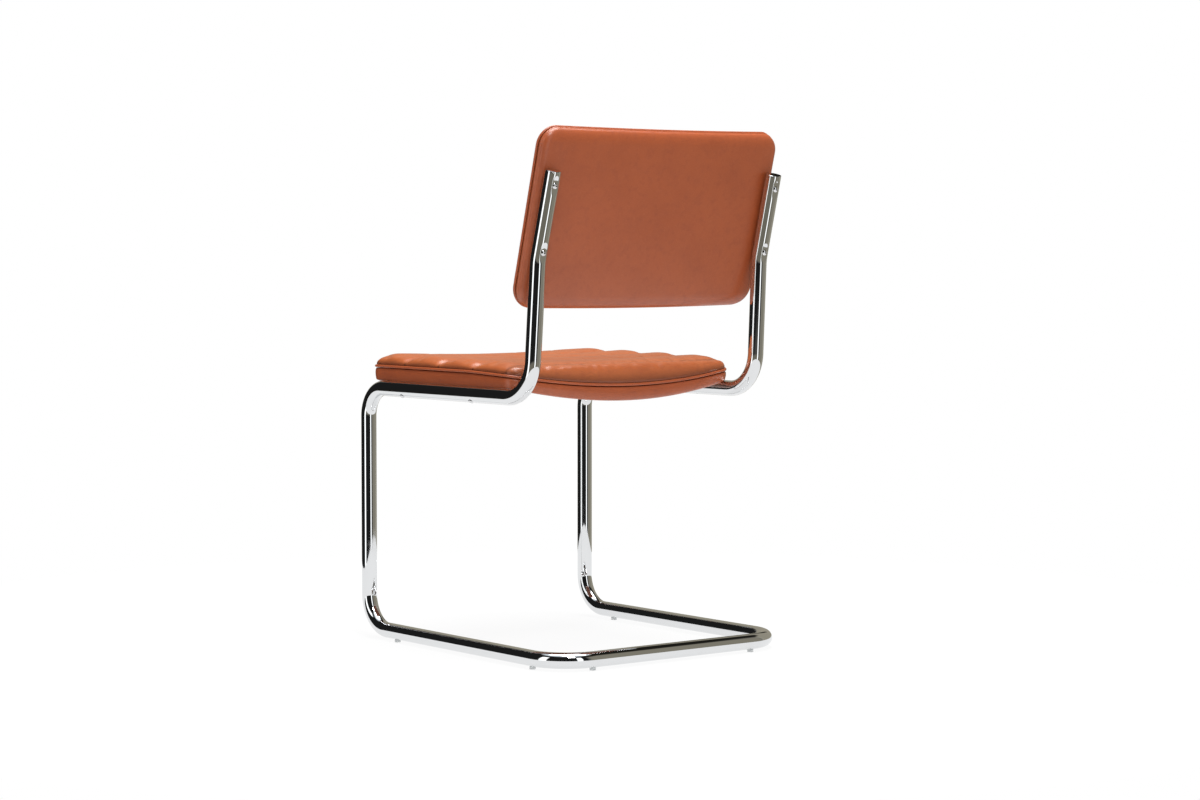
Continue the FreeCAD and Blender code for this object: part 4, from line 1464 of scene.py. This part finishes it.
class CHAIR_OT_back_front(bpy.types.Operator):
    """Build the channelled front pad of the backrest"""
    bl_idname = "chair.back_front"
    bl_label = "Backrest front"

    def execute(self, context):
        sizes = context.scene.chair_back
        vertices, faces, painted_crease_shade = back_front_shape(sizes)
        pad = make_object("back_front_pad", vertices, faces, {"painted_crease_shade": painted_crease_shade})
        swell(pad, back_held(sizes), 5.5 * MM, 4.0, 2.2 * MM)
        dress(pad, bpy.data.materials["saddle_leather"], "leather", "back_front_cover", "back_foam")
        return {"FINISHED"}


class CHAIR_OT_studio(bpy.types.Operator):
    """Set up the floor, the studio round it, the lights and the camera"""
    bl_idname = "chair.studio"
    bl_label = "Studio"

    def execute(self, context):
        colours = context.scene.chair_colours
        near = disc_mesh("floor_near", FLOOR_NEAR, 0.0, 96)
        near.data.materials.append(floor_material("studio_floor", colours, 0.90, 1.02))
        far = disc_mesh("floor_far", FLOOR_FAR, -0.002, 96)
        far.data.materials.append(floor_material("studio_floor_far", colours, 1.0, CAMERA_WHITE))
        far.visible_glossy = False
        work = bmesh.new()
        bmesh.ops.create_uvsphere(work, u_segments=64, v_segments=32, radius=SHELL_RADIUS)
        mesh = bpy.data.meshes.new("studio_walls")
        work.to_mesh(mesh)
        work.free()
        walls = bpy.data.objects.new("studio_walls", mesh)
        bpy.context.scene.collection.objects.link(walls)
        mesh.materials.append(studio_walls_material())
        walls.visible_camera = False
        walls.visible_diffuse = False
        walls.visible_shadow = False
        walls.visible_transmission = False
        walls.visible_volume_scatter = False
        area_light("overhead", *OVERHEAD)
        area_light("key", *KEY)
        set_world()
        add_camera()
        context.scene.view_settings.view_transform = "Standard"
        return {"FINISHED"}


OPERATORS = [
    CHAIR_OT_finishes,
    CHAIR_OT_frame,
    CHAIR_OT_seat_pad,
    CHAIR_OT_seat_band,
    CHAIR_OT_seat_piping,
    CHAIR_OT_underside,
    CHAIR_OT_back_rear,
    CHAIR_OT_back_piping,
    CHAIR_OT_back_front,
    CHAIR_OT_studio,
]


class CHAIR_PT_panel(bpy.types.Panel):
    """Lists the chair's pieces and their sizes"""
    bl_label = "Cantilever Chair"
    bl_idname = "CHAIR_PT_panel"
    bl_space_type = "VIEW_3D"
    bl_region_type = "UI"
    bl_category = "Chair"

    def draw(self, context):
        for operator in OPERATORS:
            self.layout.operator(operator.bl_idname)
        scene = context.scene
        for group in (scene.chair_seat, scene.chair_back, scene.chair_tube, scene.chair_colours):
            box = self.layout.box()
            for name in group.__annotations__:
                box.prop(group, name)


CLASSES = [SeatSizes, BackSizes, TubeSizes, ChairColours, *OPERATORS, CHAIR_PT_panel]


def register():
    for cls in CLASSES:
        bpy.utils.register_class(cls)
    bpy.types.Scene.chair_seat = PointerProperty(type=SeatSizes)
    bpy.types.Scene.chair_back = PointerProperty(type=BackSizes)
    bpy.types.Scene.chair_tube = PointerProperty(type=TubeSizes)
    bpy.types.Scene.chair_colours = PointerProperty(type=ChairColours)


def unregister():
    del bpy.types.Scene.chair_colours
    del bpy.types.Scene.chair_tube
    del bpy.types.Scene.chair_back
    del bpy.types.Scene.chair_seat
    for cls in reversed(CLASSES):
        bpy.utils.unregister_class(cls)


def main():
    register()
    for operator in OPERATORS:
        group, name = operator.bl_idname.split(".")
        getattr(getattr(bpy.ops, group), name)()


if __name__ == "__main__":
    main()
